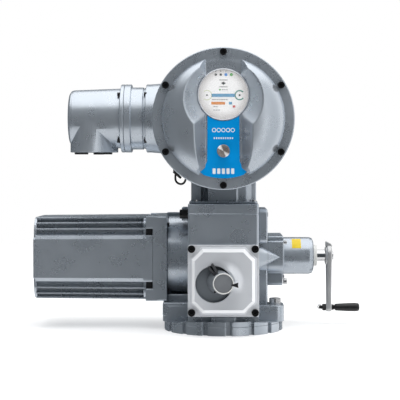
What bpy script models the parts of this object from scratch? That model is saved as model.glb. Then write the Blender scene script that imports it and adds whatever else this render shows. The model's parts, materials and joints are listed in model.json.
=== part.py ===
"""Motorized valve actuator: worm gear unit, motor, hand crank, electronics and electrical connection.

Metres, +Z up. The origin is the centre of the foot face, on the output axis. +X points at the
hand crank, and the display and the position indicator face -Y.
"""

import math

import bmesh
import bpy
from mathutils import Matrix, Vector

GAP = 0.0003  # between neighbours that touch
ROUND = 28  # steps round a large piece
MEDIUM = 20
SMALL = 12
X_AXIS, Y_AXIS, Z_AXIS = (1, 0, 0), (0, 1, 0), (0, 0, 1)

# Foot, for a flange with four M16 on a 140 mm circle and a 100 mm register
FOOT_R, FOOT_H, FOOT_RECESS_R = 0.100, 0.014, 0.050
FOOT_NOTCHES, NOTCH_DEPTH, NOTCH_SHARE = 16, 0.006, 0.22
FOOT_PCD_R, FOOT_HOLE_R = 0.070, 0.0085
EAR_X, EAR_R, EAR_TOP = 0.0875, 0.0145, 0.0415
FOOT_BOLT_R = 0.005

# Gear housing
BLOCK_X, BLOCK_FRONT, BLOCK_BACK, BLOCK_TOP = 0.0575, -0.099, 0.095, 0.214
CAVITY_X, CAVITY_BACK, CAVITY_LOW, CAVITY_HIGH = 0.042, 0.079, 0.040, 0.182

# Line of the motor, the worm and the crank
LINE_Y, LINE_Z = 0.050, 0.120
LINE = (0.0, LINE_Y, LINE_Z)
SHAFT_R = 0.010

# Worm and wheel: one start, module 2
WHEEL_TEETH = 36
MODULE = 0.002
WHEEL_R = WHEEL_TEETH * MODULE / 2
WORM_R = LINE_Y - WHEEL_R
WORM_LEAD = math.pi * MODULE
WORM_TURNS = 5
WHEEL_HALF = 0.009
OUTPUT_R, OUTPUT_BORE_R, OUTPUT_LOW, OUTPUT_HIGH = 0.028, 0.022, 0.006, 0.198
STEM_BORE_R, STEM_TOP, SLEEVE_HIGH = 0.013, 0.181, 0.056
BEARING_T = 0.012
WORM_BEARING_R, OUTPUT_BEARING_R = 0.021, 0.040

# Motor
MOTOR_LEFT, MOTOR_FIN_END, MOTOR_RIGHT = -0.3214, -0.135, -0.1192
MOTOR_DEEP_HALF, MOTOR_HIGH_HALF, MOTOR_FLAT = 0.0735, 0.0705, 0.033
MOTOR_BORE_R = 0.057
PLATE_LEFT, PLATE_RIGHT = -0.1189, -0.0950
PLATE_DEEP_HALF, PLATE_HIGH_HALF = 0.0755, 0.0712
NECK_R = 0.070

# Hand crank
CRANK_FLANGE = (0.0753, 0.1017)
TUBE_R, TUBE_END = 0.0318, 0.1557
SPRING_START, WASHER_START, WASHER_END = 0.0845, 0.120, 0.124
ARM_START, ARM_END = 0.1770, 0.1850
CRANK_R = 0.090
GRIP_START, GRIP_END, GRIP_R = 0.1937, 0.2363, 0.0073
SPINDLE_R = 0.0027

# Position indicator on the front cover
INDICATOR_Z = 0.091
COVER_HALF, COVER_BACK, COVER_FRONT, PLATFORM_FRONT = 0.0575, -0.0993, -0.110, -0.118
STUB_R, STUB_FRONT_R, STUB_SHOULDER, STUB_FRONT = 0.0255, 0.0168, -0.138, -0.158

# Electronics
DOME_Z = 0.3516
RIM_R, RIM_FRONT, RIM_BACK = 0.114, -0.1275, -0.113
DRUM_R, DRUM_WALL, DRUM_BACK = 0.108, 0.007, 0.062
LOBE_R, LOBE_FRONT, FLOOR_FRONT, FLOOR_BACK = 0.098, -0.160, -0.134, -0.129
SCREW_CIRCLE_R = 0.1064
DISPLAY_Z, DISPLAY_R = 0.390, 0.041
KNOB_Z, KNOB_R = 0.2996, 0.0102
PEDESTAL_HALF, PEDESTAL_FRONT, PEDESTAL_BACK = 0.0540, -0.076, 0.050

# Electrical connection, along -X
PORT_Y, PORT_Z = -0.010, 0.356
PORT = (0.0, PORT_Y, PORT_Z)
CAP_END = -0.2595
# The entry's outline is half an ellipse on each side of its foremost line
ENTRY_X, ENTRY_LOW = -0.2275, 0.2990
ENTRY_LEFT, ENTRY_RIGHT, ENTRY_DEEP = 0.0305, 0.0495, 0.0482
PLUGS = ((-0.2390, -0.018, 0.0125), (-0.2130, 0.012, 0.0100), (-0.1945, -0.020, 0.0085))


# ---------------------------------------------------------------- materials


def material(name, colour, metallic, roughness, alpha=1.0):
    made = bpy.data.materials.new(name)
    made.use_nodes = True
    shader = made.node_tree.nodes["Principled BSDF"]
    shader.inputs["Base Color"].default_value = (*colour, 1.0)
    shader.inputs["Metallic"].default_value = metallic
    shader.inputs["Roughness"].default_value = roughness
    shader.inputs["Alpha"].default_value = alpha
    made.diffuse_color = (*colour, alpha)
    return made


def make_materials():
    return {
        "paint": material("grey_paint", (0.18, 0.20, 0.22), 0.7, 0.38),
        "light_paint": material("light_grey_paint", (0.45, 0.47, 0.50), 0.7, 0.32),
        "cast": material("cast_iron", (0.16, 0.16, 0.16), 0.9, 0.6),
        "steel": material("steel", (0.55, 0.55, 0.56), 1.0, 0.28),
        "bronze": material("bronze", (0.60, 0.38, 0.16), 1.0, 0.35),
        "copper": material("copper", (0.70, 0.30, 0.14), 1.0, 0.4),
        "black": material("black_oxide", (0.012, 0.012, 0.013), 0.6, 0.4),
        "plastic": material("black_plastic", (0.015, 0.015, 0.016), 0.0, 0.45),
        "rubber": material("rubber", (0.02, 0.02, 0.02), 0.0, 0.7),
        "glass": material("glass", (0.85, 0.90, 0.92), 0.0, 0.05, 0.35),
        "screen": material("screen", (0.75, 0.80, 0.84), 0.0, 0.3),
        "blue": material("blue_label", (0.0, 0.22, 0.62), 0.0, 0.35),
        "board": material("circuit_board", (0.02, 0.16, 0.07), 0.0, 0.5),
        "white": material("white_plastic", (0.75, 0.75, 0.73), 0.0, 0.45),
    }


# ---------------------------------------------------------------- shapes


def finished(bm, name, look, pivot=None):
    """The mesh as an object whose origin is the pivot, shaded smooth where it is round."""
    origin = Vector(pivot or (0, 0, 0))
    bmesh.ops.recalc_face_normals(bm, faces=bm.faces)
    bmesh.ops.translate(bm, verts=bm.verts, vec=-origin)
    mesh = bpy.data.meshes.new(name)
    bm.to_mesh(mesh)
    bm.free()
    mesh.shade_smooth()
    mesh.set_sharp_from_angle(angle=math.radians(35))
    mesh.materials.append(look)
    obj = bpy.data.objects.new(name, mesh)
    obj.location = origin
    bpy.context.scene.collection.objects.link(obj)
    return obj


def turned(name, profile, axis, centre, look, steps=ROUND, pivot=None):
    """A profile of (radius, distance along the axis) points, turned round the axis through centre.

    A profile that starts and ends on the axis makes a solid, and any other makes a ring.
    """
    bm = bmesh.new()
    on_axis = profile[0][0] == 0 and profile[-1][0] == 0
    flat_start = on_axis and profile[0][1] == profile[1][1]
    flat_end = on_axis and profile[-1][1] == profile[-2][1]
    swept = profile[flat_start : len(profile) - flat_end]
    points = [bm.verts.new((radius, 0, along)) for radius, along in swept]
    pairs = list(zip(points, points[1:]))
    if not on_axis:
        pairs.append((points[-1], points[0]))
    edges = [bm.edges.new(pair) for pair in pairs]
    bmesh.ops.spin(
        bm, geom=points + edges, axis=Z_AXIS, cent=(0, 0, 0), angle=math.tau, steps=steps, use_merge=True
    )
    bmesh.ops.remove_doubles(bm, verts=bm.verts, dist=1e-6)
    bmesh.ops.holes_fill(bm, edges=[edge for edge in bm.edges if edge.is_boundary])
    turn = Vector(Z_AXIS).rotation_difference(Vector(axis)).to_matrix().to_4x4()
    bmesh.ops.transform(bm, matrix=Matrix.Translation(centre) @ turn, verts=bm.verts)
    return finished(bm, name, look, pivot)


def disc(name, radius, start, end, axis, centre, look, steps=ROUND, pivot=None):
    profile = [(0, start), (radius, start), (radius, end), (0, end)]
    return turned(name, profile, axis, centre, look, steps, pivot)


def ring(name, inner, outer, start, end, axis, centre, look, steps=ROUND, pivot=None):
    profile = [(inner, start), (outer, start), (outer, end), (inner, end)]
    return turned(name, profile, axis, centre, look, steps, pivot)


def spot(axis, first, second, along):
    """A point given by its two coordinates across an axis, in X, Y, Z order, and its place along it."""
    point = [first, second]
    point.insert(axis.index(1), along)
    return Vector(point)


def prism(name, outline, axis, start, end, look, pivot=None, end_scale=1.0, twist=0.0):
    """An outline across an axis, extruded along it. Its far end can be scaled or turned about the origin."""
    bm = bmesh.new()
    face = bm.faces.new([bm.verts.new(spot(axis, a, b, start)) for a, b in outline])
    grown = bmesh.ops.extrude_face_region(bm, geom=[face])["geom"]
    far = [item for item in grown if isinstance(item, bmesh.types.BMVert)]
    bmesh.ops.translate(bm, verts=far, vec=spot(axis, 0, 0, end - start))
    if twist:
        bmesh.ops.rotate(bm, verts=far, matrix=Matrix.Rotation(twist, 3, axis))
    if end_scale != 1.0:
        middle = sum((vert.co for vert in far), Vector()) / len(far)
        scale = Vector(end_scale if part == 0 else 1.0 for part in axis)
        bmesh.ops.scale(bm, verts=far, vec=scale, space=Matrix.Translation(-middle))
    return finished(bm, name, look, pivot)


def block(name, low, high, look, pivot=None):
    bm = bmesh.new()
    size = Vector(high) - Vector(low)
    place = Matrix.Translation((Vector(low) + Vector(high)) / 2) @ Matrix.Diagonal((*size, 1.0))
    bmesh.ops.create_cube(bm, size=1.0, matrix=place)
    return finished(bm, name, look, pivot)


def rectangle(half_first, half_second, corner, centre=(0, 0), steps=4):
    """A rectangle with round corners, or with chamfered ones at one step."""
    points = []
    for quarter in range(4):
        start = quarter * math.pi / 2
        sign_first = 1 if quarter in (0, 3) else -1
        sign_second = 1 if quarter in (0, 1) else -1
        first = centre[0] + sign_first * (half_first - corner)
        second = centre[1] + sign_second * (half_second - corner)
        for step in range(steps + 1):
            angle = start + step / steps * math.pi / 2
            points.append((first + corner * math.cos(angle), second + corner * math.sin(angle)))
    return points


def bevelled(obj, width, segments=2, angle=40):
    modifier = obj.modifiers.new("edge", "BEVEL")
    modifier.width = width
    modifier.segments = segments
    modifier.limit_method = "ANGLE"
    modifier.angle_limit = math.radians(angle)
    return obj


def boolean(obj, tool, operation):
    tool.hide_render = True
    tool.display_type = "WIRE"
    modifier = obj.modifiers.new(tool.name, "BOOLEAN")
    modifier.operation = operation
    modifier.solver = "EXACT"
    modifier.object = tool
    return obj


def cut(obj, *tools):
    for tool in tools:
        boolean(obj, tool, "DIFFERENCE")
    return obj


def join(obj, *tools):
    for tool in tools:
        boolean(obj, tool, "UNION")
    return obj


def across(angle, radius):
    return radius * math.cos(angle), radius * math.sin(angle)


# ---------------------------------------------------------------- foot and gear housing


def foot_outline():
    """A round outline with even notches, one of which stands just right of the front."""
    pitch = math.tau / FOOT_NOTCHES
    first = math.radians(4.9) - math.pi / 2
    half_gap = NOTCH_SHARE / 2
    points = []
    for notch in range(FOOT_NOTCHES):
        for share, radius in ((-half_gap, FOOT_R - NOTCH_DEPTH), (half_gap, FOOT_R - NOTCH_DEPTH)):
            points.append(across(first + (notch + share) * pitch, radius))
        for step in range(4):
            share = half_gap + 0.01 + (1 - NOTCH_SHARE - 0.02) * step / 3
            points.append(across(first + (notch + share) * pitch, FOOT_R))
    return points


def make_foot(looks):
    foot = prism("base_flange", foot_outline(), Z_AXIS, 0, FOOT_H, looks["paint"])
    cut(foot, disc("foot_recess", FOOT_RECESS_R, -0.01, 0.03, Z_AXIS, (0, 0, 0), looks["paint"]))
    for index in range(4):
        x, y = across(math.pi / 4 + index * math.pi / 2, FOOT_PCD_R)
        ends = (-0.01, 0.03, Z_AXIS, (x, y, 0))
        cut(foot, disc(f"foot_hole_{index}", FOOT_HOLE_R, *ends, looks["paint"], SMALL))
    right, left = (EAR_X, 0, 0), (-EAR_X, 0, 0)
    hole_r, head_r, head_t = FOOT_BOLT_R + GAP, 0.010, 0.010
    cut(foot, disc("right_bolt_hole", hole_r, 0.004, 0.03, Z_AXIS, right, looks["paint"], SMALL))
    counterbore = [(0, -0.01), (head_r + GAP, -0.01), (head_r + GAP, 0.009)]
    counterbore += [(hole_r, 0.009), (hole_r, 0.03), (0, 0.03)]
    cut(foot, turned("left_bolt_hole", counterbore, Z_AXIS, left, looks["paint"], SMALL))
    head = EAR_TOP + GAP
    profile = [(0, 0.006), (FOOT_BOLT_R, 0.006), (FOOT_BOLT_R, head), (head_r, head)]
    profile += [(head_r, head + head_t - 0.0015), (head_r - 0.0015, head + head_t), (0, head + head_t)]
    turned("foot_bolt_right", profile, Z_AXIS, right, looks["steel"], SMALL)
    # The left ear lies under the motor's end plate, so its bolt comes up from below.
    profile = [(0, 0.001), (head_r, 0.001), (head_r, 0.0087)]
    profile += [(FOOT_BOLT_R, 0.0087), (FOOT_BOLT_R, 0.038), (0, 0.038)]
    turned("foot_bolt_left", profile, Z_AXIS, left, looks["steel"], SMALL)


def make_gear_housing(looks):
    paint = looks["paint"]
    middle, half = (BLOCK_BACK + BLOCK_FRONT) / 2, (BLOCK_BACK - BLOCK_FRONT) / 2
    outline = rectangle(BLOCK_X, half, 0.004, (0, middle), 2)
    housing = prism("gear_housing", outline, Z_AXIS, FOOT_H + GAP, BLOCK_TOP, paint)
    bar = rectangle(EAR_X + EAR_R, EAR_R, EAR_R, steps=6)
    ears = prism("ear_bar", bar, Z_AXIS, FOOT_H + GAP, EAR_TOP, paint)
    apron = disc("apron", 0.088, FOOT_H + GAP, 0.036, Z_AXIS, (0, 0, 0), paint)
    neck = disc("neck", NECK_R, PLATE_RIGHT + GAP, -0.030, X_AXIS, LINE, paint)
    side_low, side_high = (0.050, -0.012, EAR_TOP - 0.002), (CRANK_FLANGE[0] - GAP, 0.088, 0.148)
    side_boss = block("side_boss", side_low, side_high, paint)
    join(housing, ears, apron, neck, side_boss, cone("cone_root", 0.050, CRANK_FLANGE[0] - GAP, paint))

    cavity_low, cavity_high = (-CAVITY_X, -0.085, CAVITY_LOW), (CAVITY_X, CAVITY_BACK, CAVITY_HIGH)
    cavity = block("gear_cavity", cavity_low, cavity_high, paint)
    window = block("front_window", (-0.040, BLOCK_FRONT - 0.01, 0.048), (0.040, -0.08, 0.134), paint)
    line_bore = disc("line_bore", WORM_BEARING_R + GAP, -0.070, 0.080, X_AXIS, LINE, paint, MEDIUM)
    neck_bore = disc("neck_bore", 0.058, PLATE_RIGHT - 0.01, -BLOCK_X - 0.002, X_AXIS, LINE, paint)
    floor_bore = disc("floor_bore", OUTPUT_BEARING_R + GAP, 0.0, 0.045, Z_AXIS, (0, 0, 0), paint)
    roof_bore = disc("roof_bore", OUTPUT_BEARING_R + GAP, 0.170, 0.200, Z_AXIS, (0, 0, 0), paint)
    cut(housing, cavity, window, line_bore, neck_bore, floor_bore, roof_bore)
    for side in (-1, 1):
        centre = (side * EAR_X, 0, 0)
        cut(housing, disc(f"ear_hole_{side}", FOOT_BOLT_R + GAP, 0.0, 0.05, Z_AXIS, centre, paint, SMALL))


def cone(name, start, end, look):
    """The part of the cone in front of the crank line that lies between two X positions."""
    base_x, tip_x, base_r, tip_r = 0.060, 0.0935, 0.024, 0.001
    radii = [base_r + (tip_r - base_r) * (x - base_x) / (tip_x - base_x) for x in (start, end)]
    profile = [(0, start), (radii[0], start), (radii[1], end), (0, end)]
    return turned(name, profile, X_AXIS, (0, -0.012, LINE_Z), look, 12)


def make_housing_fittings(looks):
    outline = rectangle(0.055, 0.028, 0.008, (-0.020, 0.177), 3)
    side = prism("side_cover", outline, X_AXIS, BLOCK_X + GAP, 0.0725, looks["paint"])
    bevelled(side, 0.002, 1)
    plug = [(0, -0.0735), (0.0085, -0.0735), (0.0095, -0.0725), (0.0095, -BLOCK_X - GAP), (0, -BLOCK_X - GAP)]
    turned("oil_plug", plug, X_AXIS, (0, -0.020, 0.196), looks["black"], MEDIUM)


# ---------------------------------------------------------------- worm gear


def bearing(name, inner, outer, start, axis, centre, look, steps=MEDIUM):
    """A ring with a shallow groove between the races in one face."""
    low, high = start, start + BEARING_T
    third, groove = (outer - inner) / 3, 0.0015
    profile = [(inner, low), (inner + third, low), (inner + third, low + groove)]
    profile += [(outer - third, low + groove), (outer - third, low)]
    profile += [(outer, low), (outer, high), (inner, high)]
    return turned(name, profile, axis, centre, look, steps)


def wheel_outline():
    """Straight-flanked teeth, with a gap between two teeth on +Y, where the worm's thread lies."""
    points = []
    pitch = math.tau / WHEEL_TEETH
    root, tip = WHEEL_R - 0.0025, WHEEL_R + MODULE
    root_half, tip_half = 0.0017 / root, 0.0006 / tip
    for tooth in range(WHEEL_TEETH):
        middle = math.pi / 2 + (tooth + 0.5) * pitch
        for offset, radius in ((-root_half, root), (-tip_half, tip), (tip_half, tip), (root_half, root)):
            points.append(across(middle + offset, radius))
    return points


def make_output(looks):
    lead_angle = WORM_LEAD / (math.tau * WORM_R)
    twist = 2 * WHEEL_HALF * lead_angle / WHEEL_R
    low, high = LINE_Z - WHEEL_HALF, LINE_Z + WHEEL_HALF
    wheel = prism("worm_wheel", wheel_outline(), Z_AXIS, low, high, looks["bronze"], twist=twist)
    wheel.rotation_euler.z = -twist / 2
    ends = (low - 0.01, high + 0.01, Z_AXIS, (0, 0, 0))
    cut(wheel, disc("wheel_bore", OUTPUT_R + GAP, *ends, looks["bronze"]))
    profile = [(0, STEM_TOP), (OUTPUT_BORE_R, STEM_TOP), (OUTPUT_BORE_R, OUTPUT_LOW)]
    profile += [(OUTPUT_R, OUTPUT_LOW), (OUTPUT_R, OUTPUT_HIGH), (0, OUTPUT_HIGH)]
    turned("output_shaft", profile, Z_AXIS, (0, 0, 0), looks["steel"])
    ends = (OUTPUT_LOW, SLEEVE_HIGH, Z_AXIS, (0, 0, 0))
    ring("plug_sleeve", STEM_BORE_R, OUTPUT_BORE_R - GAP, *ends, looks["bronze"])
    for name, start in (("lower", 0.020), ("upper", 0.184)):
        seat = (start, Z_AXIS, (0, 0, 0))
        bearing(f"output_bearing_{name}", OUTPUT_R + GAP, OUTPUT_BEARING_R, *seat, looks["steel"], ROUND)


def worm_thread(look):
    """The helical ridge of the worm, right-handed, as a trapezoid swept along its helix."""
    steps = 10
    root, tip = WORM_R - 0.003, WORM_R + MODULE
    root_half, tip_half = 0.00165, 0.0006
    bm = bmesh.new()
    sections = []
    for step in range(WORM_TURNS * steps + 1):
        turns = step / steps - WORM_TURNS / 2
        # The thread crosses the wheel's side of the shaft, -Y, at whole turns from the middle.
        angle = math.tau * turns - math.pi / 2
        along = turns * WORM_LEAD
        section = []
        for radius, offset in ((root, -root_half), (tip, -tip_half), (tip, tip_half), (root, root_half)):
            y = LINE_Y + radius * math.sin(angle)
            z = LINE_Z - radius * math.cos(angle)
            section.append(bm.verts.new((along + offset, y, z)))
        sections.append(section)
    for near, far in zip(sections, sections[1:]):
        for index in range(4):
            after = (index + 1) % 4
            bm.faces.new((near[index], near[after], far[after], far[index]))
    bm.faces.new(sections[0])
    bm.faces.new(sections[-1])
    return finished(bm, "worm_thread", look)


def make_worm(looks):
    steel = looks["steel"]
    core, collar = WORM_R - 0.0025, 0.0135
    profile = [(0, -0.078), (SHAFT_R, -0.078), (SHAFT_R, -0.0435), (collar, -0.0435), (collar, -0.038)]
    profile += [(core, -0.038), (core, 0.038), (collar, 0.038), (collar, 0.0435), (SHAFT_R, 0.0435)]
    profile += [(SHAFT_R, 0.062), (0.0145, 0.062), (0.0145, 0.068), (0, 0.068)]
    worm = turned("worm_shaft", profile, X_AXIS, LINE, steel, MEDIUM, LINE)
    join(worm, worm_thread(steel))
    for name, start in (("left", -0.0565), ("right", 0.0445)):
        bearing(f"worm_bearing_{name}", SHAFT_R + GAP, WORM_BEARING_R, start, X_AXIS, LINE, steel)


# ---------------------------------------------------------------- motor


def motor_outline():
    """Flat faces front, back, top and bottom, with fins that point forwards and back in the corners."""
    quarter = [(MOTOR_DEEP_HALF, MOTOR_FLAT), (MOTOR_DEEP_HALF - 0.004, MOTOR_FLAT + 0.006)]
    root_y, fin_half, lip = 0.046, 0.0015, 0.0033
    for fin_z, tip_y in ((0.0500, 0.0685), (0.0600, 0.0630)):
        quarter += [(root_y, fin_z - 0.0065), (root_y, fin_z - fin_half)]
        quarter += [(tip_y, fin_z - fin_half), (tip_y - 0.001, fin_z + fin_half)]
    quarter += [(root_y, 0.0635), (root_y, MOTOR_HIGH_HALF - lip)]
    quarter += [(0.0540, MOTOR_HIGH_HALF - lip), (0.0530, MOTOR_HIGH_HALF)]
    upper = quarter + [(-y, z) for y, z in reversed(quarter)]
    lower = [(-y, -z) for y, z in upper]
    return [(LINE_Y + y, LINE_Z + z) for y, z in upper + lower]


def make_motor(looks):
    paint, steel = looks["paint"], looks["steel"]
    housing = prism(
        "motor_housing", motor_outline(), X_AXIS, MOTOR_FIN_END, MOTOR_LEFT, paint, end_scale=0.975
    )
    flange = rectangle(0.0655, 0.0655, 0.036, LINE[1:], 3)
    join(housing, prism("motor_flange", flange, X_AXIS, MOTOR_RIGHT, MOTOR_FIN_END - 0.01, paint))
    pad_front, pad_root = LINE_Y - MOTOR_DEEP_HALF, LINE_Y - 0.050
    front_pad = [(pad_front, LINE_Z + MOTOR_FLAT), (pad_front, LINE_Z - MOTOR_FLAT)]
    front_pad += [(pad_root, LINE_Z - 0.040), (pad_root, LINE_Z + 0.040)]
    join(housing, prism("front_pad", front_pad, X_AXIS, MOTOR_RIGHT, MOTOR_FIN_END - 0.01, paint))
    bore = disc("motor_bore", MOTOR_BORE_R, -0.303, -0.10, X_AXIS, LINE, paint)
    seat = disc("motor_seat", WORM_BEARING_R + GAP, -0.3155, -0.29, X_AXIS, LINE, paint, MEDIUM)
    cut(housing, bore, seat)

    outline = rectangle(PLATE_DEEP_HALF, PLATE_HIGH_HALF, 0.010, LINE[1:], 3)
    plate = prism("motor_end_plate", outline, X_AXIS, PLATE_LEFT, PLATE_RIGHT, paint)
    lug_ends = (X_AXIS, MOTOR_FIN_END + 0.002, PLATE_LEFT + 0.004)
    lug_deep, lug_high = 0.0065, 0.0100
    for first in (-1, 1):
        for second in (-1, 1):
            y = LINE_Y + first * (PLATE_DEEP_HALF - lug_deep)
            z = LINE_Z + second * (PLATE_HIGH_HALF - lug_high)
            lug = rectangle(lug_deep, lug_high, 0.002, (y, z), 2)
            join(plate, prism(f"lug_{first}_{second}", lug, *lug_ends, paint))
    cut(plate, disc("plate_bore", SHAFT_R + 0.002, -0.14, -0.08, X_AXIS, LINE, paint, MEDIUM))
    cut(plate, disc("plate_seat", WORM_BEARING_R + GAP, -0.14, -0.1065, X_AXIS, LINE, paint, MEDIUM))

    bearing("motor_bearing_rear", SHAFT_R + GAP, WORM_BEARING_R, -0.3150, X_AXIS, LINE, steel)
    bearing("motor_bearing_front", SHAFT_R + GAP, WORM_BEARING_R, -0.1190, X_AXIS, LINE, steel)
    core_r = MOTOR_BORE_R - 0.001
    core = [(0.037, -0.268), (core_r, -0.268), (core_r, -0.162), (0.037, -0.162)]
    winding = [(0.040, -0.150), (0.051, -0.150), (0.051, -0.2795), (0.040, -0.2795)]
    stator = turned("stator", core, X_AXIS, LINE, looks["copper"], MEDIUM)
    join(stator, turned("winding", winding, X_AXIS, LINE, looks["copper"], MEDIUM))
    shaft = [(0, -0.3135), (SHAFT_R, -0.3135), (SHAFT_R, -0.266), (0.0360, -0.266), (0.0360, -0.164)]
    shaft += [(SHAFT_R, -0.164), (SHAFT_R, -0.086), (0, -0.086)]
    turned("rotor", shaft, X_AXIS, LINE, steel, MEDIUM, LINE)
    ring("shaft_coupling", SHAFT_R + GAP, 0.0165, -0.0930, -0.0680, X_AXIS, LINE, steel, MEDIUM, LINE)


# ---------------------------------------------------------------- hand crank


def spring(name, radius, wire_r, start, end, turns, centre, look):
    """A round-wire coil along X with filled ends."""
    steps = 8
    curve = bpy.data.curves.new(name, "CURVE")
    curve.dimensions = "3D"
    curve.bevel_depth = wire_r
    curve.bevel_resolution = 1
    curve.use_fill_caps = True
    line = curve.splines.new("POLY")
    line.points.add(turns * steps)
    for index, point in enumerate(line.points):
        y, z = across(math.tau * index / steps, radius)
        x = start + (end - start) * index / (turns * steps)
        point.co = (x, centre[1] + y, centre[2] + z, 1.0)
    line.use_smooth = True
    curve.materials.append(look)
    obj = bpy.data.objects.new(name, curve)
    bpy.context.scene.collection.objects.link(obj)
    return obj


def make_crank_housing(looks):
    paint = looks["paint"]
    start, end = CRANK_FLANGE
    flange = rectangle(0.0575, 0.0455, 0.010, (LINE_Y - 0.002, 0.1165), 3)
    housing = prism("crank_housing", flange, X_AXIS, start, end, paint)
    tube = [(0, 0.090), (TUBE_R, 0.090), (TUBE_R, TUBE_END - 0.004)]
    tube += [(TUBE_R - 0.004, TUBE_END), (0, TUBE_END)]
    join(housing, turned("crank_tube", tube, X_AXIS, LINE, paint), cone("cone_tip", start, 0.0935, paint))
    bore = disc("crank_bore", 0.0255, 0.082, TUBE_END - 0.006, X_AXIS, LINE, paint, MEDIUM)
    way = disc("crank_way", SHAFT_R + GAP, 0.06, 0.17, X_AXIS, LINE, paint, MEDIUM)
    cut(housing, bore, way)
    bush = [(SHAFT_R + GAP, TUBE_END + GAP), (0.0180, TUBE_END + GAP), (0.0180, 0.1610)]
    bush += [(0.0170, 0.1620), (SHAFT_R + GAP, 0.1620)]
    turned("crank_bush", bush, X_AXIS, LINE, looks["white"], MEDIUM)
    wire = 0.0016
    coil = (SPRING_START + wire, WASHER_START - wire - GAP, 5, LINE)
    spring("crank_return_spring", 0.0185, wire, *coil, looks["steel"])


def arm_outline():
    """A lever that narrows from its hub on the crank line to the eye of the grip, straight below."""
    hub_r, eye_r = 0.0235, 0.0075
    lean = math.asin((hub_r - eye_r) / CRANK_R)
    points = []
    for step in range(13):
        angle = -lean + step / 12 * (math.pi + 2 * lean)
        y, z = across(angle, hub_r)
        points.append((LINE_Y + y, LINE_Z + z))
    for step in range(9):
        angle = math.pi + lean + step / 8 * (math.pi - 2 * lean)
        y, z = across(angle, eye_r)
        points.append((LINE_Y + y, LINE_Z - CRANK_R + z))
    return points


def make_crank(looks):
    steel = looks["steel"]
    ring("thrust_washer", SHAFT_R, 0.0225, WASHER_START, WASHER_END, X_AXIS, LINE, steel, MEDIUM, LINE)
    shaft_r = SHAFT_R - GAP
    profile = [(0, 0.080), (shaft_r, 0.080), (shaft_r, WASHER_END + GAP), (0.0145, WASHER_END + GAP)]
    profile += [(0.0145, 0.128), (shaft_r, 0.128), (shaft_r, ARM_START - GAP), (0.0062, ARM_START - GAP)]
    profile += [(0.0062, 0.1905), (0.0055, 0.1912), (0, 0.1912)]
    turned("crank_shaft", profile, X_AXIS, LINE, steel, MEDIUM, LINE)
    arm = prism("crank_arm", arm_outline(), X_AXIS, ARM_START, ARM_END, looks["cast"], LINE)
    bevelled(arm, 0.0015, 1)
    eye = (0, LINE_Y, LINE_Z - CRANK_R)
    hub = disc("crank_hub", 0.0110, ARM_END - 0.004, 0.1880, X_AXIS, LINE, looks["cast"], MEDIUM, LINE)
    join(arm, hub)
    cut(arm, disc("hub_hole", 0.0065, 0.16, 0.20, X_AXIS, LINE, looks["cast"], SMALL, LINE))
    cut(arm, disc("eye_hole", SPINDLE_R + GAP, 0.16, 0.20, X_AXIS, eye, looks["cast"], SMALL, LINE))

    nut_end = ARM_START - GAP
    profile = [(0, nut_end - 0.004), (0.0058, nut_end - 0.004), (0.0058, nut_end), (SPINDLE_R, nut_end)]
    profile += [(SPINDLE_R, GRIP_END - 0.004), (0, GRIP_END - 0.004)]
    turned("grip_spindle", profile, X_AXIS, eye, looks["black"], SMALL, LINE)
    profile = [(0, GRIP_START), (GRIP_R - 0.0016, GRIP_START), (GRIP_R - 0.0008, GRIP_START + 0.004)]
    profile += [(GRIP_R, 0.225), (GRIP_R - 0.0004, 0.232), (GRIP_R - 0.0025, 0.2354), (0, GRIP_END)]
    grip = turned("crank_grip", profile, X_AXIS, eye, looks["plastic"], MEDIUM, eye)
    ends = (GRIP_START - 0.01, GRIP_END - 0.0035, X_AXIS, eye)
    cut(grip, disc("grip_bore", SPINDLE_R + GAP, *ends, looks["plastic"], SMALL, eye))


# ---------------------------------------------------------------- position indicator


def make_indicator(looks):
    light = looks["light_paint"]
    centre = (0, 0, INDICATOR_Z)
    outline = rectangle(COVER_HALF, COVER_HALF, 0.004, (0, INDICATOR_Z), 2)
    cover = prism("indicator_cover", outline, Y_AXIS, COVER_BACK, COVER_FRONT, light)
    platform = rectangle(0.0540, 0.0545, 0.0190, (0, INDICATOR_Z), 1)
    ends = (COVER_FRONT + 0.004, PLATFORM_FRONT)
    join(cover, prism("platform", platform, Y_AXIS, *ends, light, end_scale=0.87))
    dish_centre = (-0.0155, 0, INDICATOR_Z - 0.005)
    dish = disc("dish", 0.0295, PLATFORM_FRONT - 0.01, PLATFORM_FRONT + 0.0035, Y_AXIS, dish_centre, light)
    cut(cover, dish, block("cover_inside", (-0.038, -0.109, 0.053), (0.038, -0.09, 0.129), light))
    stub = [(0, STUB_FRONT), (STUB_FRONT_R, STUB_FRONT), (STUB_R, STUB_SHOULDER)]
    stub += [(STUB_R, -0.112), (0, -0.112)]
    join(cover, turned("stub", stub, Y_AXIS, centre, light))
    hollow = [(0, STUB_FRONT - 0.01), (0.0150, STUB_FRONT - 0.01), (0.0150, -0.1540), (0.0138, -0.1540)]
    hollow += [(0.0138, -0.1445), (0.0045, -0.1445), (0.0045, -0.09), (0, -0.09)]
    cut(cover, turned("stub_hollow", hollow, Y_AXIS, centre, light, MEDIUM))
    disc("sight_glass", 0.0147, -0.1573, -0.1543, Y_AXIS, centre, looks["glass"], MEDIUM)

    profile = [(0, -0.1500), (0.0132, -0.1500), (0.0132, -0.1485), (0.0030, -0.1485), (0.0030, -0.0880)]
    profile += [(0.0200, -0.0880), (0.0200, -0.0840), (0.0030, -0.0840), (0.0030, -0.0740), (0, -0.0740)]
    turned("indicator_disc", profile, Y_AXIS, centre, looks["white"], MEDIUM, centre)
    low, high = (-0.0417, -0.0800, 0.0650), (0.0417, -0.0480, 0.1010)
    gearbox = block("position_gearbox", low, high, looks["plastic"])
    cut(gearbox, disc("gearbox_hole", 0.0033, -0.09, -0.070, Y_AXIS, centre, looks["plastic"], SMALL))


# ---------------------------------------------------------------- electronics


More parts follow.
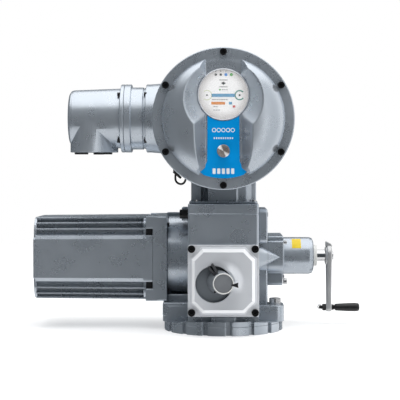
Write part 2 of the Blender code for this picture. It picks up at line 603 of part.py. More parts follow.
def mirrored(half):
    """A half outline on +X, completed by its mirror image."""
    return half + [(-x, z) for x, z in reversed(half)]


def scoop_outline():
    """The way between the two lobes: wide round the display, narrow above it and at the label."""
    half = [(0.031, DOME_Z + 0.11), (0.031, DOME_Z + 0.091), (0.050, 0.415), (0.0620, 0.395), (0.0636, 0.377)]
    half += [(0.047, 0.337), (0.037, 0.275), (0.047, 0.2685), (0.060, DOME_Z - 0.11)]
    return mirrored(half)


def label_outline():
    """The label: concave round the display, straight, then flared down to the rim's curve."""
    top = DISPLAY_Z - math.sqrt((DISPLAY_R + 0.001) ** 2 - 0.026**2)
    half = [(0.0, DISPLAY_Z - DISPLAY_R - 0.001), (0.014, DISPLAY_Z - 0.0398), (0.026, top)]
    half += [(0.026, 0.282), (0.0385, 0.268)]
    for x in (0.030, 0.020, 0.010):
        half.append((x, DOME_Z - math.sqrt((LOBE_R - 0.001) ** 2 - x * x)))
    return mirrored(half[1:]) + [half[0]]


def make_drum(looks):
    paint = looks["paint"]
    centre = (0, 0, DOME_Z)
    inner = DRUM_R - DRUM_WALL
    flange_front = RIM_BACK + GAP
    profile = [(inner, flange_front), (RIM_R, flange_front), (RIM_R, -0.098), (DRUM_R, -0.096)]
    profile += [(DRUM_R, DRUM_BACK - 0.012), (DRUM_R - 0.012, DRUM_BACK), (0, DRUM_BACK)]
    profile += [(0, DRUM_BACK - DRUM_WALL), (inner, DRUM_BACK - DRUM_WALL)]
    drum = turned("electronics_housing", [(0, flange_front)] + profile[1:7], Y_AXIS, centre, paint)
    neck = [(0, -0.1293), (0.0575, -0.1293), (0.0575, -0.1220)]
    neck += [(0.0590, -0.1030), (0.0590, -0.06), (0, -0.06)]
    join(drum, turned("port_neck", neck, X_AXIS, PORT, paint))
    hollow = disc("drum_hollow", inner, flange_front - 0.01, DRUM_BACK - DRUM_WALL, Y_AXIS, centre, paint)
    way = disc("port_way", 0.046, -0.14, -0.05, X_AXIS, PORT, paint, MEDIUM)
    cut(drum, hollow, way)
    for first in (-1, 1):
        for second in (-1, 1):
            place = (first * 0.055, 0, DOME_Z + second * 0.050)
            join(drum, disc(f"post_{first}_{second}", 0.004, 0.025, 0.058, Y_AXIS, place, paint, 8))
    block("power_board", (-0.065, 0.0230, DOME_Z - 0.060), (0.065, 0.0247, DOME_Z + 0.060), looks["board"])
    disc("capacitor", 0.020, -0.030, 0.0227, Y_AXIS, (0.032, 0, DOME_Z - 0.020), looks["plastic"], MEDIUM)


def make_dome(looks):
    paint = looks["paint"]
    centre = (0, 0, DOME_Z)
    profile = [(0, RIM_BACK), (RIM_R, RIM_BACK), (RIM_R, RIM_FRONT + 0.002), (RIM_R - 0.002, RIM_FRONT)]
    profile += [(LOBE_R, RIM_FRONT), (0.094, -0.143), (0.084, -0.155), (0.070, LOBE_FRONT), (0, LOBE_FRONT)]
    cover = turned("electronics_cover", profile, Y_AXIS, centre, paint)
    scoop = prism("scoop", scoop_outline(), Y_AXIS, FLOOR_FRONT, LOBE_FRONT - 0.01, paint)
    display = (0, 0, DISPLAY_Z)
    display_hole = disc("display_hole", 0.037, -0.16, -0.12, Y_AXIS, display, paint)
    seat_back = FLOOR_FRONT + 0.002
    display_seat = disc("display_seat", DISPLAY_R + GAP, -0.16, seat_back, Y_AXIS, display, paint)
    inside = disc("cover_hollow", 0.094, FLOOR_BACK, -0.10, Y_AXIS, centre, paint)
    cut(cover, scoop, display_seat, display_hole, inside)
    knob_hole = disc("knob_hole", 0.0033, -0.16, -0.12, Y_AXIS, (0, 0, KNOB_Z), paint, SMALL)
    groove = ring("seal_groove", 0.0965, 0.0995, RIM_BACK - 0.0025, -0.10, Y_AXIS, centre, paint)
    cut(cover, knob_hole, groove)
    ring("cover_seal", 0.0968, 0.0992, RIM_BACK - 0.0022, RIM_BACK, Y_AXIS, centre, looks["rubber"])

    for index in range(6):
        x, z = across(math.radians(30 + 60 * index), SCREW_CIRCLE_R)
        place = (x, 0, DOME_Z + z)
        hole = disc(f"screw_hole_{index}", 0.0033, -0.14, -0.10, Y_AXIS, place, paint, 8)
        boolean(cover, hole, "DIFFERENCE")
        boolean(bpy.data.objects["electronics_housing"], hole, "DIFFERENCE")
        seat, shank_end = RIM_FRONT - GAP, -0.102
        profile = [(0, seat - 0.0055), (0.0052, seat - 0.0055), (0.0052, seat)]
        profile += [(0.0030, seat), (0.0030, shank_end), (0, shank_end)]
        turned(f"cover_screw_{index + 1}", profile, Y_AXIS, place, looks["black"], SMALL)


def make_controls(looks):
    display = (0, 0, DISPLAY_Z)
    ends = (FLOOR_FRONT - 0.0015, FLOOR_FRONT + 0.0017, Y_AXIS, display)
    disc("display_window", DISPLAY_R, *ends, looks["glass"])
    disc("display_module", 0.0365, -0.1318, -0.1200, Y_AXIS, display, looks["screen"])
    low, high = (-0.055, -0.1197, 0.290), (0.055, -0.1181, 0.425)
    board = block("control_board", low, high, looks["board"])
    cut(board, disc("board_hole", 0.0060, -0.13, -0.11, Y_AXIS, (0, 0, KNOB_Z), looks["board"], SMALL))
    place = (0, 0, KNOB_Z)
    ends = (FLOOR_FRONT - GAP, FLOOR_FRONT - 0.0013)
    label = prism("front_label", label_outline(), Y_AXIS, *ends, looks["blue"])
    cut(label, disc("label_hole", 0.0045, -0.15, -0.12, Y_AXIS, place, looks["blue"], SMALL))

    profile = [(0, -0.1475), (0.0042, -0.1475), (0.0042, -0.1460), (0.0030, -0.1460), (0.0030, -0.1215)]
    turned("controller_stem", profile + [(0, -0.1215)], Y_AXIS, place, looks["steel"], SMALL, place)
    profile = [(0.0033, -0.1457), (0.0048, -0.1457), (0.0048, -0.1490), (KNOB_R - 0.001, -0.1500)]
    profile += [(KNOB_R, -0.1490), (KNOB_R, -0.1385), (0.0033, -0.1385)]
    turned("drive_controller", profile, Y_AXIS, place, looks["steel"], MEDIUM, place)


def make_pedestal(looks):
    paint = looks["paint"]
    middle = (PEDESTAL_FRONT + PEDESTAL_BACK) / 2
    half = (PEDESTAL_BACK - PEDESTAL_FRONT) / 2
    outline = rectangle(PEDESTAL_HALF, half, 0.016, (0, middle), 1)
    pedestal = prism("pedestal", outline, Z_AXIS, BLOCK_TOP + GAP, DOME_Z - 0.08, paint)
    drum = disc("drum_clearance", DRUM_R + GAP, -0.2, 0.2, Y_AXIS, (0, 0, DOME_Z), paint)
    bore = disc("cable_way", 0.030, 0.20, 0.30, Z_AXIS, (0, middle, 0), paint, MEDIUM)
    cut(pedestal, drum, bore)


# ---------------------------------------------------------------- electrical connection


def entry_outline(inset):
    """The outline of the cable entry, or of its hollow at an inset."""
    points = []
    for step in range(ROUND):
        angle = math.tau * (step + 0.5) / ROUND
        reach = ENTRY_RIGHT if math.cos(angle) > 0 else ENTRY_LEFT
        x = ENTRY_X + (reach - inset) * math.cos(angle)
        y = PORT_Y + (ENTRY_DEEP - inset) * math.sin(angle)
        points.append((x, y))
    return points


def make_connection(looks):
    paint, plastic = looks["paint"], looks["plastic"]
    bore = 0.044
    profile = [(bore, -0.1296), (0.0520, -0.1296), (0.0525, -0.1556), (0.0574, -0.1556), (0.0574, -0.1650)]
    turned("connection_frame", profile + [(bore, -0.1650)], X_AXIS, PORT, paint)
    disc("pin_insert", bore - GAP, -0.1630, -0.1420, X_AXIS, PORT, plastic, MEDIUM)

    shell = [(0, -0.1653), (0.0574, -0.1653), (0.0574, -0.1744), (0.0505, -0.1744), (0.0475, -0.2510)]
    shell += [(0.0462, -0.2550), (0.0420, -0.2580), (0.0300, CAP_END), (0, CAP_END)]
    cap = turned("connection_cap", shell, X_AXIS, PORT, paint)
    join(cap, prism("cable_entry", entry_outline(0), Z_AXIS, ENTRY_LOW, PORT_Z + 0.0043, paint))
    hollow = disc("cap_hollow", 0.0415, -0.2530, -0.15, X_AXIS, PORT, paint)
    wall = 0.0055
    inside = prism("entry_hollow", entry_outline(wall), Z_AXIS, ENTRY_LOW + 0.008, PORT_Z - 0.005, paint)
    cut(cap, join(hollow, inside))
    for index, (x, y, radius) in enumerate(PLUGS):
        place = (x, y, 0)
        cut(cap, disc(f"plug_hole_{index}", radius - 0.0025, 0.28, 0.32, Z_AXIS, place, paint, MEDIUM))
        low = ENTRY_LOW - GAP
        profile = [(0, low - 0.0035), (radius - 0.001, low - 0.0035), (radius, low - 0.0025), (radius, low)]
        profile += [(radius - 0.0028, low), (radius - 0.0028, low + 0.0085), (0, low + 0.0085)]
        turned(f"cable_plug_{index + 1}", profile, Z_AXIS, place, plastic, 18)

    angle = math.radians(232)
    out = (math.cos(angle), 0, math.sin(angle))
    profile = [(0, DRUM_R + 0.001), (0.0080, DRUM_R + 0.001), (0.0080, 0.1180), (0.0070, 0.1190), (0, 0.1190)]
    turned("service_port_cap", profile, out, (0, -0.050, DOME_Z), looks["rubber"], SMALL)


# ---------------------------------------------------------------- start


def clear_scene():
    for obj in list(bpy.data.objects):
        bpy.data.objects.remove(obj)


def main():
    clear_scene()
    looks = make_materials()
    make_foot(looks)
    make_gear_housing(looks)
    make_housing_fittings(looks)
    make_output(looks)
    make_worm(looks)
    make_motor(looks)
    make_crank_housing(looks)
    make_crank(looks)
    make_indicator(looks)
    make_drum(looks)
    make_dome(looks)
    make_controls(looks)
    make_pedestal(looks)
    make_connection(looks)


main()
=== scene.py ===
"""Looks of the motorized valve actuator: surfaces, materials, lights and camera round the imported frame."""

import json
import math

import bmesh
import bpy
import numpy as np
from mathutils import Matrix, Vector

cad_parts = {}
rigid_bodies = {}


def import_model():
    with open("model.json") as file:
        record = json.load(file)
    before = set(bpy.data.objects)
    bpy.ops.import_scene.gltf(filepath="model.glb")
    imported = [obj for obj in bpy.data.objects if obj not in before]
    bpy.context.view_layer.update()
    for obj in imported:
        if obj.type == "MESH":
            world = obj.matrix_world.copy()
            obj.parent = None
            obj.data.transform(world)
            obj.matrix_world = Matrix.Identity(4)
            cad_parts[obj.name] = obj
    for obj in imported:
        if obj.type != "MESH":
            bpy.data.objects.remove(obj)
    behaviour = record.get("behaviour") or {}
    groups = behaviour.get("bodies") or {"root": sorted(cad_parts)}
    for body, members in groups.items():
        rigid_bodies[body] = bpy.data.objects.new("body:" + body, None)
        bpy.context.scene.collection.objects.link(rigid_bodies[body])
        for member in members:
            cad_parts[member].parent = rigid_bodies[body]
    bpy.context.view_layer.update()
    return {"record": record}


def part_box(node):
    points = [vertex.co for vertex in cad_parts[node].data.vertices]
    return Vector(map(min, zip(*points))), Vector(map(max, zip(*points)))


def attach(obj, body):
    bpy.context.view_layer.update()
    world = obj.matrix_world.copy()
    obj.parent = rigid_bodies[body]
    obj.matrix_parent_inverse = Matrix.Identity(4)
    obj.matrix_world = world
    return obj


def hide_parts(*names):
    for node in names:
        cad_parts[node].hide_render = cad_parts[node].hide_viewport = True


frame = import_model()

SCENE = bpy.context.scene
X_AXIS, Y_AXIS, Z_AXIS = (1, 0, 0), (0, 1, 0), (0, 0, 1)
GAP = 0.0003

# Places that several pieces share, read from the frame
COVER_LOW, COVER_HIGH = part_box("electronics_cover")
RIM_R = COVER_HIGH.x
DOME_Z = (COVER_LOW.z + COVER_HIGH.z) / 2
RIM_BACK = COVER_HIGH.y
RIM_FRONT = RIM_BACK - 0.0145
WINDOW_LOW, WINDOW_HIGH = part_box("display_window")
DISPLAY_Z = (WINDOW_LOW.z + WINDOW_HIGH.z) / 2
KNOB_LOW, KNOB_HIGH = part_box("drive_controller")
KNOB_Z = (KNOB_LOW.z + KNOB_HIGH.z) / 2
PLATE_LOW, PLATE_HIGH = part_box("motor_end_plate")
SHAFT_LOW, SHAFT_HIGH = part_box("crank_shaft")
LINE_Y = (SHAFT_LOW.y + SHAFT_HIGH.y) / 2
LINE_Z = (SHAFT_LOW.z + SHAFT_HIGH.z) / 2
LINE = (0.0, LINE_Y, LINE_Z)
FRAME_LOW, FRAME_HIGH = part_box("connection_frame")
PORT_Y = (FRAME_LOW.y + FRAME_HIGH.y) / 2
PORT_Z = (FRAME_LOW.z + FRAME_HIGH.z) / 2
PORT = (0.0, PORT_Y, PORT_Z)
PEDESTAL_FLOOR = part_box("pedestal")[0].z


# ---------------------------------------------------------------- node trees


class Tree:
    """Short calls for building a node tree."""

    def __init__(self, tree):
        self.tree = tree

    def add(self, kind, inputs=(), **settings):
        node = self.tree.nodes.new(kind)
        for name, value in settings.items():
            setattr(node, name, value)
        for name, value in dict(inputs).items():
            self.feed(node.inputs[name], value)
        return node

    def feed(self, socket, value):
        if isinstance(value, bpy.types.NodeSocket):
            self.tree.links.new(value, socket)
        else:
            socket.default_value = value

    def math(self, operation, first, second=0.0):
        return self.add("ShaderNodeMath", {0: first, 1: second}, operation=operation).outputs[0]

    def ease(self, value, start, end, low=0.0, high=1.0):
        """A smooth step of the value from low at start to high at end."""
        inputs = {"Value": value, "From Min": start, "From Max": end, "To Min": low, "To Max": high}
        return self.add("ShaderNodeMapRange", inputs, interpolation_type="SMOOTHSTEP").outputs[0]

    def noise(self, scale, detail=3.0, roughness=0.5, stretch=None):
        where = self.add("ShaderNodeTexCoord").outputs["Object"]
        if stretch:
            where = self.add("ShaderNodeMapping", {"Vector": where, "Scale": stretch}).outputs[0]
        inputs = {"Vector": where, "Scale": scale, "Detail": detail, "Roughness": roughness}
        return self.add("ShaderNodeTexNoise", inputs).outputs[0]

    def split(self, source="Object"):
        """The place of a point as three numbers."""
        return self.add("ShaderNodeSeparateXYZ", {0: self.add("ShaderNodeTexCoord").outputs[source]}).outputs

    def length(self, first, second):
        squares = [self.math("MULTIPLY", value, value) for value in (first, second)]
        return self.math("SQRT", self.math("ADD", *squares))

    def bump(self, height, strength, distance):
        inputs = {"Height": height, "Strength": strength, "Distance": distance}
        return self.add("ShaderNodeBump", inputs).outputs[0]

    def dress(self, shader, **inputs):
        """Feeds the shader. An input's name is written with _ for a space."""
        for name, value in inputs.items():
            self.feed(shader.inputs[name.replace("_", " ")], value)

    def blend(self, share, first, second):
        """The colour that lies between the two by the share."""
        node = self.add("ShaderNodeMix", data_type="RGBA")
        self.feed(node.inputs[0], share)
        self.feed(node.inputs[6], first)
        self.feed(node.inputs[7], second)
        return node.outputs[2]


def opaque(colour):
    return (*colour, 1.0)


def new_material(name, roughness, metallic=0.0, **constants):
    """A material's tree and its shader, with the constant values set on the shader's own sockets."""
    made = bpy.data.materials.new(name)
    made.use_nodes = True
    tree, shader = Tree(made.node_tree), made.node_tree.nodes["Principled BSDF"]
    tree.dress(shader, Metallic=metallic, Roughness=roughness, **constants)
    return made, tree, shader


def textured(
    name, dark, light, roughness, metallic=0.0, mottle=9.0, grain=900.0, bump=0.08, painted_gap_shade=0.0, **constants
):
    """A finish with slow colour changes, an uneven gloss, a fine grain and, on request, painted shade that
    darkens its gaps and hollows by ambient occlusion.
    """
    made, tree, shader = new_material(name, roughness, metallic, **constants)
    slow = tree.ease(tree.noise(mottle, 4.0), 0.32, 0.68)
    colour = tree.blend(slow, opaque(dark), opaque(light))
    if painted_gap_shade:
        # Painted shade: ambient occlusion darkens the colour in gaps, hollows and recesses, where shade
        # falls.
        open_share = tree.add("ShaderNodeAmbientOcclusion", {"Distance": 0.05}, samples=16).outputs["AO"]
        share = tree.ease(open_share, 0.08, 0.66, painted_gap_shade, 0.0)
        colour = tree.blend(share, colour, opaque([c * 0.12 for c in dark]))
    gloss = tree.ease(tree.noise(mottle * 4, 3.0), 0.3, 0.7, roughness * 0.85, roughness * 1.2)
    relief = tree.bump(tree.noise(grain, 2.0, 0.6), bump, 0.0002)
    tree.dress(shader, Base_Color=colour, Roughness=gloss, Normal=relief)
    return made


def brushed(name, colour, roughness, stretch, strength=0.25):
    """Bare metal with fine tool marks along one direction."""
    made, tree, shader = new_material(name, roughness, 1.0)
    lines = tree.noise(500.0, 3.0, 0.7, stretch)
    shade = tree.blend(tree.ease(lines, 0.3, 0.7), opaque([c * 0.82 for c in colour]), opaque(colour))
    gloss = tree.ease(lines, 0.25, 0.75, roughness * 0.75, roughness * 1.35)
    tree.dress(shader, Base_Color=shade, Roughness=gloss, Normal=tree.bump(lines, strength, 0.0001))
    return made


def display_face():
    """A lit face that is white in its middle and greyer towards its edge."""
    made, tree, shader = new_material("display_face", 0.35)
    x, _, z = tree.split()
    share = tree.ease(tree.length(x, tree.math("SUBTRACT", z, DISPLAY_Z)), 0.024, 0.04)
    face = tree.blend(share, opaque((0.9, 0.885, 0.88)), opaque((0.58, 0.55, 0.54)))
    speckle = tree.ease(tree.noise(40.0, 2.0), 0.3, 0.7)
    colour = tree.blend(tree.math("MULTIPLY", speckle, 0.2), face, opaque((0.86, 0.84, 0.84)))
    tree.dress(shader, Base_Color=colour, Emission_Color=colour, Emission_Strength=0.16)
    return made


def knob_metal():
    """Steel with a painted highlight: a diagonal band through the knob's middle is painted pale and smoother
    as a reflected streak, the rest dark, with fine turning rings.
    """
    made, tree, shader = new_material("knob_metal", 0.3, 0.35, Anisotropic=0.6)
    x, _, z = tree.split()
    angle = tree.math("ARCTAN2", tree.math("SUBTRACT", z, KNOB_Z), x)
    turned = tree.math("MULTIPLY", tree.math("ADD", angle, 0.82), 2.0)
    # Painted highlight: the colour turns pale on two opposite sides, by the angle round the knob.
    sector = tree.ease(tree.math("COSINE", turned), 0.55, 1.0)
    rings = tree.ease(tree.noise(2200.0, 2.0, 0.7, (1.0, 0.02, 1.0)), 0.3, 0.7, 0.0, 0.25)
    shade = tree.math("ADD", tree.math("MULTIPLY", sector, 0.8), rings)
    colour = tree.blend(shade, opaque((0.11, 0.085, 0.075)), opaque((0.98, 0.97, 0.95)))
    tangent = tree.add("ShaderNodeTangent", direction_type="RADIAL", axis="Y").outputs[0]
    tree.dress(shader, Base_Color=colour, Roughness=tree.ease(shade, 0.0, 1.0, 0.38, 0.22), Tangent=tangent)
    return made


def glass(name, tint, alpha, roughness):
    """A clear or tinted pane with faint smears."""
    coat = {"Coat_Weight": 0.5, "Coat_Roughness": 0.03}
    made, tree, shader = new_material(name, roughness, Alpha=alpha, IOR=1.5, **coat)
    smear = tree.ease(tree.noise(40.0, 3.0), 0.35, 0.65)
    colour = tree.blend(smear, opaque([c * 0.9 for c in tint]), opaque(tint))
    gloss = tree.ease(tree.noise(55.0, 4.0), 0.3, 0.7, roughness, roughness * 2.5)
    tree.dress(shader, Base_Color=colour, Roughness=gloss)
    return made


def winding_metal():
    """Stacked sheets and enamelled wire, as fine bands along the motor's line."""
    made, tree, shader = new_material("winding_metal", 0.4, 0.9)
    bands = tree.noise(900.0, 2.0, 0.5, (1.0, 0.02, 0.02))
    colour = tree.blend(tree.ease(bands, 0.4, 0.6), opaque((0.24, 0.12, 0.07)), opaque((0.62, 0.3, 0.15)))
    tree.dress(shader, Base_Color=colour, Normal=tree.bump(bands, 0.4, 0.0003))
    return made


def board_material():
    """Solder mask with faint tracks."""
    made, tree, shader = new_material("board_mask", 0.35)
    where = tree.add("ShaderNodeTexCoord").outputs["Object"]
    cells = tree.add("ShaderNodeTexVoronoi", {"Vector": where, "Scale": 260.0}, distance="CHEBYCHEV")
    tracks = tree.ease(cells.outputs["Distance"], 0.36, 0.44)
    tree.dress(shader, Base_Color=tree.blend(tracks, opaque((0.01, 0.1, 0.04)), opaque((0.05, 0.26, 0.12))))
    return made


PAINT = (0.535, 0.585, 0.645), (0.58, 0.63, 0.69)
COVER_PAINT = (0.74, 0.76, 0.8), (0.78, 0.8, 0.835)
CRANK_GREY = (0.54, 0.545, 0.55), (0.62, 0.625, 0.63)
LABEL_DARK, LABEL_LIGHT = (0.0, 0.262, 0.655), (0.0, 0.278, 0.69)
BLACK, LESS_BLACK = (0.006, 0.006, 0.007), (0.014, 0.014, 0.015)
GRIP_DARK, GRIP_LIGHT = (0.01, 0.01, 0.011), (0.018, 0.018, 0.019)
RUBBER_DARK, RUBBER_LIGHT = (0.012, 0.012, 0.012), (0.024, 0.024, 0.024)
LOOKS = {
    # The housing paint carries painted shade in its gaps and hollows.
    "housing_paint": textured("housing_paint_finish", *PAINT, 0.29, 0.76, bump=0.02, painted_gap_shade=0.4),
    "cover_paint": textured("cover_paint_finish", *COVER_PAINT, 0.36, 0.42, bump=0.02),
    "crank_metal": textured("crank_finish", *CRANK_GREY, 0.34, 0.7, grain=600.0, bump=0.2),
    "steel": brushed("steel_finish", (0.62, 0.62, 0.63), 0.28, (0.05, 1.0, 1.0)),
    "bright_steel": brushed("bright_finish", (0.86, 0.86, 0.87), 0.09, (0.02, 1.0, 1.0), 0.08),
    "bronze": textured("bronze_finish", (0.56, 0.36, 0.15), (0.68, 0.46, 0.21), 0.34, 1.0, bump=0.15),
    "winding": winding_metal(),
    "black_steel": textured("black_oxide_finish", BLACK, LESS_BLACK, 0.34, 0.3, mottle=60.0),
    "black_plastic": textured("grip_plastic", GRIP_DARK, GRIP_LIGHT, 0.33, mottle=40.0, bump=0.2),
    "pale_plastic": textured("pale_moulding", (0.66, 0.66, 0.64), (0.76, 0.76, 0.74), 0.4, bump=0.1),
    "rubber": textured("rubber_moulding", RUBBER_DARK, RUBBER_LIGHT, 0.62, mottle=50.0, bump=0.25),
    "glass": glass("clear_glass", (0.9, 0.93, 0.94), 0.1, 0.03),
    "screen": display_face(),
    "label": textured(
        "label_foil", LABEL_DARK, LABEL_LIGHT, 0.45, mottle=14.0, bump=0.03, Specular_IOR_Level=0.08
    ),
    "circuit_board": board_material(),
}
SMOKED_GLASS = glass("smoked_glass", (0.2, 0.21, 0.225), 0.88, 0.12)
KNOB_METAL = knob_metal()
# Painted highlight: near-white paint on the platform's bevel band, so that it looks bright on all sides.
BEVEL_HIGHLIGHT_PAINT = textured("bevel_painted_highlight", (0.9, 0.91, 0.93), (0.94, 0.95, 0.97), 0.4, 0.1, bump=0.02)
# Painted shade: a darker copy of the paint for the dish round the sight stub and for the stub, standing in
# for the shade that falls there.
DISH_DARK, DISH_LIGHT = (0.26, 0.285, 0.315), (0.3, 0.325, 0.355)
DISH_SHADE_PAINT = textured("dish_painted_shade", DISH_DARK, DISH_LIGHT, 0.36, 0.55, bump=0.02, painted_gap_shade=0.5)
YELLOW_FOIL = textured("yellow_foil", (0.78, 0.56, 0.02), (0.86, 0.64, 0.03), 0.4, mottle=60.0, bump=0.05)


def ink(name, colour):
    """Print on the label or light on the display, with a slightly uneven coverage."""
    return textured(name, [c * 0.92 for c in colour], colour, 0.38, mottle=120.0, grain=1500.0, bump=0.02)


INK = {
    "white": ink("white_ink", (0.88, 0.89, 0.9)),
    "black": ink("black_ink", (0.012, 0.012, 0.014)),
    "grey": ink("grey_ink", (0.36, 0.36, 0.37)),
    "blue": ink("blue_ink", (0.08, 0.36, 0.6)),
    "lamp_blue": ink("lamp_blue_ink", (0.06, 0.3, 0.8)),
    "lamp_green": ink("lamp_green_ink", (0.05, 0.42, 0.03)),
    "teal": ink("teal_ink", (0.02, 0.3, 0.22)),
    "lime": ink("lime_ink", (0.62, 0.68, 0.3)),
    "orange": ink("orange_ink", (0.85, 0.28, 0.01)),
    "red": ink("red_ink", (0.62, 0.02, 0.02)),
}


# ---------------------------------------------------------------- shapes


def spot(axis, first, second, along):
    """A point given by its two coordinates across an axis, in X, Y, Z order, and its place along it."""
    point = [first, second]
    point.insert(axis.index(1), along)
    return Vector(point)


def across(angle, radius):
    return radius * math.cos(angle), radius * math.sin(angle)


def corners(half_first, half_second, centre=(0, 0)):
    """The corners of a rectangle, each with two digits for the name of what stands there."""
    for first in (-1, 1):
        for second in (-1, 1):
            yield f"{first + 1}{second + 1}", centre[0] + first * half_first, centre[1] + second * half_second


def places_round(count, radius, start, centre=(0, 0)):
    """Even places round a centre, numbered from 1. Start is the first one's angle in degrees."""
    for index in range(count):
        first, second = across(math.radians(start + 360 / count * index), radius)
        yield index + 1, centre[0] + first, centre[1] + second


def rounded(points, radius, steps=5, closed=True):
    """The outline with each corner turned into a curve. A point's third number is a radius of its own."""
    result = []
    last = len(points) - 1
    for index, point in enumerate(points):
        corner = Vector(point[:2])
        own = point[2] if len(point) > 2 else radius
        if own == 0 or (not closed and index in (0, last)):
            result.append(corner)
            continue
        back = Vector(points[index - 1][:2]) - corner
        ahead = Vector(points[(index + 1) % len(points)][:2]) - corner
        half = back.angle(ahead) / 2
        if half > math.radians(87):
            result.append(corner)
            continue
        reach = min(own / math.tan(half), back.length * 0.48, ahead.length * 0.48)
        start, end = corner + back.normalized() * reach, corner + ahead.normalized() * reach
        for step in range(steps + 1):
            t = step / steps
            result.append(start * (1 - t) ** 2 + corner * 2 * t * (1 - t) + end * t**2)
    return [tuple(point) for point in result]


def rectangle(half_first, half_second, corner, centre=(0, 0), steps=6):
    """A rectangle with round corners."""
    signs = ((1, 1), (-1, 1), (-1, -1), (1, -1))
    points = [(centre[0] + a * half_first, centre[1] + b * half_second) for a, b in signs]
    return rounded(points, corner, steps)


def polygon(count, radius, centre=(0, 0), turn=0.0):
    """A regular outline, with its corners at the radius."""
    points = [across(turn + math.tau * index / count, radius) for index in range(count)]
    return [(centre[0] + a, centre[1] + b) for a, b in points]


def circle(radius, centre=(0, 0), steps=64):
    return polygon(steps, radius, centre)


def linked(name, data):
    obj = bpy.data.objects.new(name, data)
    SCENE.collection.objects.link(obj)
    return obj


def made_object(bm, name, sharp=30):
    """The mesh as an object, smooth where it is round and with its flat faces kept flat."""
    bmesh.ops.recalc_face_normals(bm, faces=bm.faces)
    mesh = bpy.data.meshes.new(name)
    bm.to_mesh(mesh)
    bm.free()
    return shaded(linked(name, mesh), sharp)


def shaded(obj, sharp=30):
    obj.data.shade_smooth()
    obj.data.set_sharp_from_angle(angle=math.radians(sharp))
    weights = obj.modifiers.new("flat_faces", "WEIGHTED_NORMAL")
    weights.keep_sharp = True
    return obj


def settled(obj):
    """The object with its modifiers applied to its mesh."""
    graph = bpy.context.evaluated_depsgraph_get()
    mesh = bpy.data.meshes.new_from_object(obj.evaluated_get(graph), depsgraph=graph)
    obj.modifiers.clear()
    obj.data = mesh
    mesh.name = obj.name
    return obj


def lathe(name, profile, axis, centre, steps=96, edge=0.0008, sharp=30):
    """A profile of (radius, distance along the axis) points, turned round the axis through centre."""
    on_axis = profile[0][0] == 0 and profile[-1][0] == 0
    swept = rounded(profile, edge, 4, closed=not on_axis)
    bm = bmesh.new()
    points = [bm.verts.new((radius, 0, along)) for radius, along in swept]
    pairs = list(zip(points, points[1:]))
    if not on_axis:
        pairs.append((points[-1], points[0]))
    edges = [bm.edges.new(pair) for pair in pairs]
    bmesh.ops.spin(
        bm, geom=points + edges, axis=Z_AXIS, cent=(0, 0, 0), angle=math.tau, steps=steps, use_merge=True
    )
    bmesh.ops.remove_doubles(bm, verts=bm.verts, dist=1e-6)
    turn = Vector(Z_AXIS).rotation_difference(Vector(axis)).to_matrix().to_4x4()
    bmesh.ops.transform(bm, matrix=Matrix.Translation(centre) @ turn, verts=bm.verts)
    return made_object(bm, name, sharp)


def disc(name, radius, start, end, axis, centre, steps=96, edge=0.0008):
    return lathe(name, [(0, start), (radius, start), (radius, end), (0, end)], axis, centre, steps, edge)


def ring(name, inner, outer, start, end, axis, centre, steps=96, edge=0.0006):
    profile = [(inner, start), (outer, start), (outer, end), (inner, end)]
    return lathe(name, profile, axis, centre, steps, edge)


def prism(name, outline, axis, start, end, edge=0.001, segments=3, end_scale=1.0, sharp=30):
    """An outline across an axis, extruded along it, with its end edges rounded. Its far end can be scaled."""
    bm = bmesh.new()
    face = bm.faces.new([bm.verts.new(spot(axis, a, b, start)) for a, b in outline])
    grown = bmesh.ops.extrude_face_region(bm, geom=[face])["geom"]
    far = [item for item in grown if isinstance(item, bmesh.types.BMVert)]
    far_face = next(item for item in grown if isinstance(item, bmesh.types.BMFace))
    bmesh.ops.translate(bm, verts=far, vec=spot(axis, 0, 0, end - start))
    if end_scale != 1.0:
        middle = sum((vert.co for vert in far), Vector()) / len(far)
        for vert in far:
            vert.co = middle + (vert.co - middle) * end_scale
    if edge:
        rims = list(face.edges) + list(far_face.edges)
        bmesh.ops.bevel(
            bm, geom=rims, offset=edge, segments=segments, profile=0.5, affect="EDGES", clamp_overlap=True
        )
    return made_object(bm, name, sharp)


def block(name, low, high, edge=0.001):
    half = ((high[0] - low[0]) / 2, (high[1] - low[1]) / 2)
    middle = ((high[0] + low[0]) / 2, (high[1] + low[1]) / 2)
    return prism(name, rectangle(*half, edge * 1.5, middle, 4), Z_AXIS, low[2], high[2], edge)


def combined(obj, tools, operation="UNION", solver="EXACT", sharp=30):
    """The object joined with, or cut by, the tools, which are used up."""
    obj.modifiers.clear()
    for tool in tools:
        tool.modifiers.clear()
        modifier = obj.modifiers.new("step", "BOOLEAN")
        modifier.operation = operation
        modifier.solver = solver
        modifier.object = tool
    settled(obj)
    for tool in tools:
        bpy.data.objects.remove(tool)
    return shaded(obj, sharp)


def cut(obj, *tools):
    return combined(obj, tools, "DIFFERENCE")


def show(piece, slot, body="root", replaced=(), look=None):
    """Gives a piece the material of its slot, or the look given instead, puts it in its body and hides the
    CAD nodes that it stands for.
    """
    piece.data.materials.clear()
    piece.data.materials.append(look or LOOKS[slot])
    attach(piece, body)
    if replaced:
        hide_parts(*replaced)
    return piece


def painted(piece, *replaced):
    return show(piece, "housing_paint", replaced=replaced)


SCREW_MESHES = {}


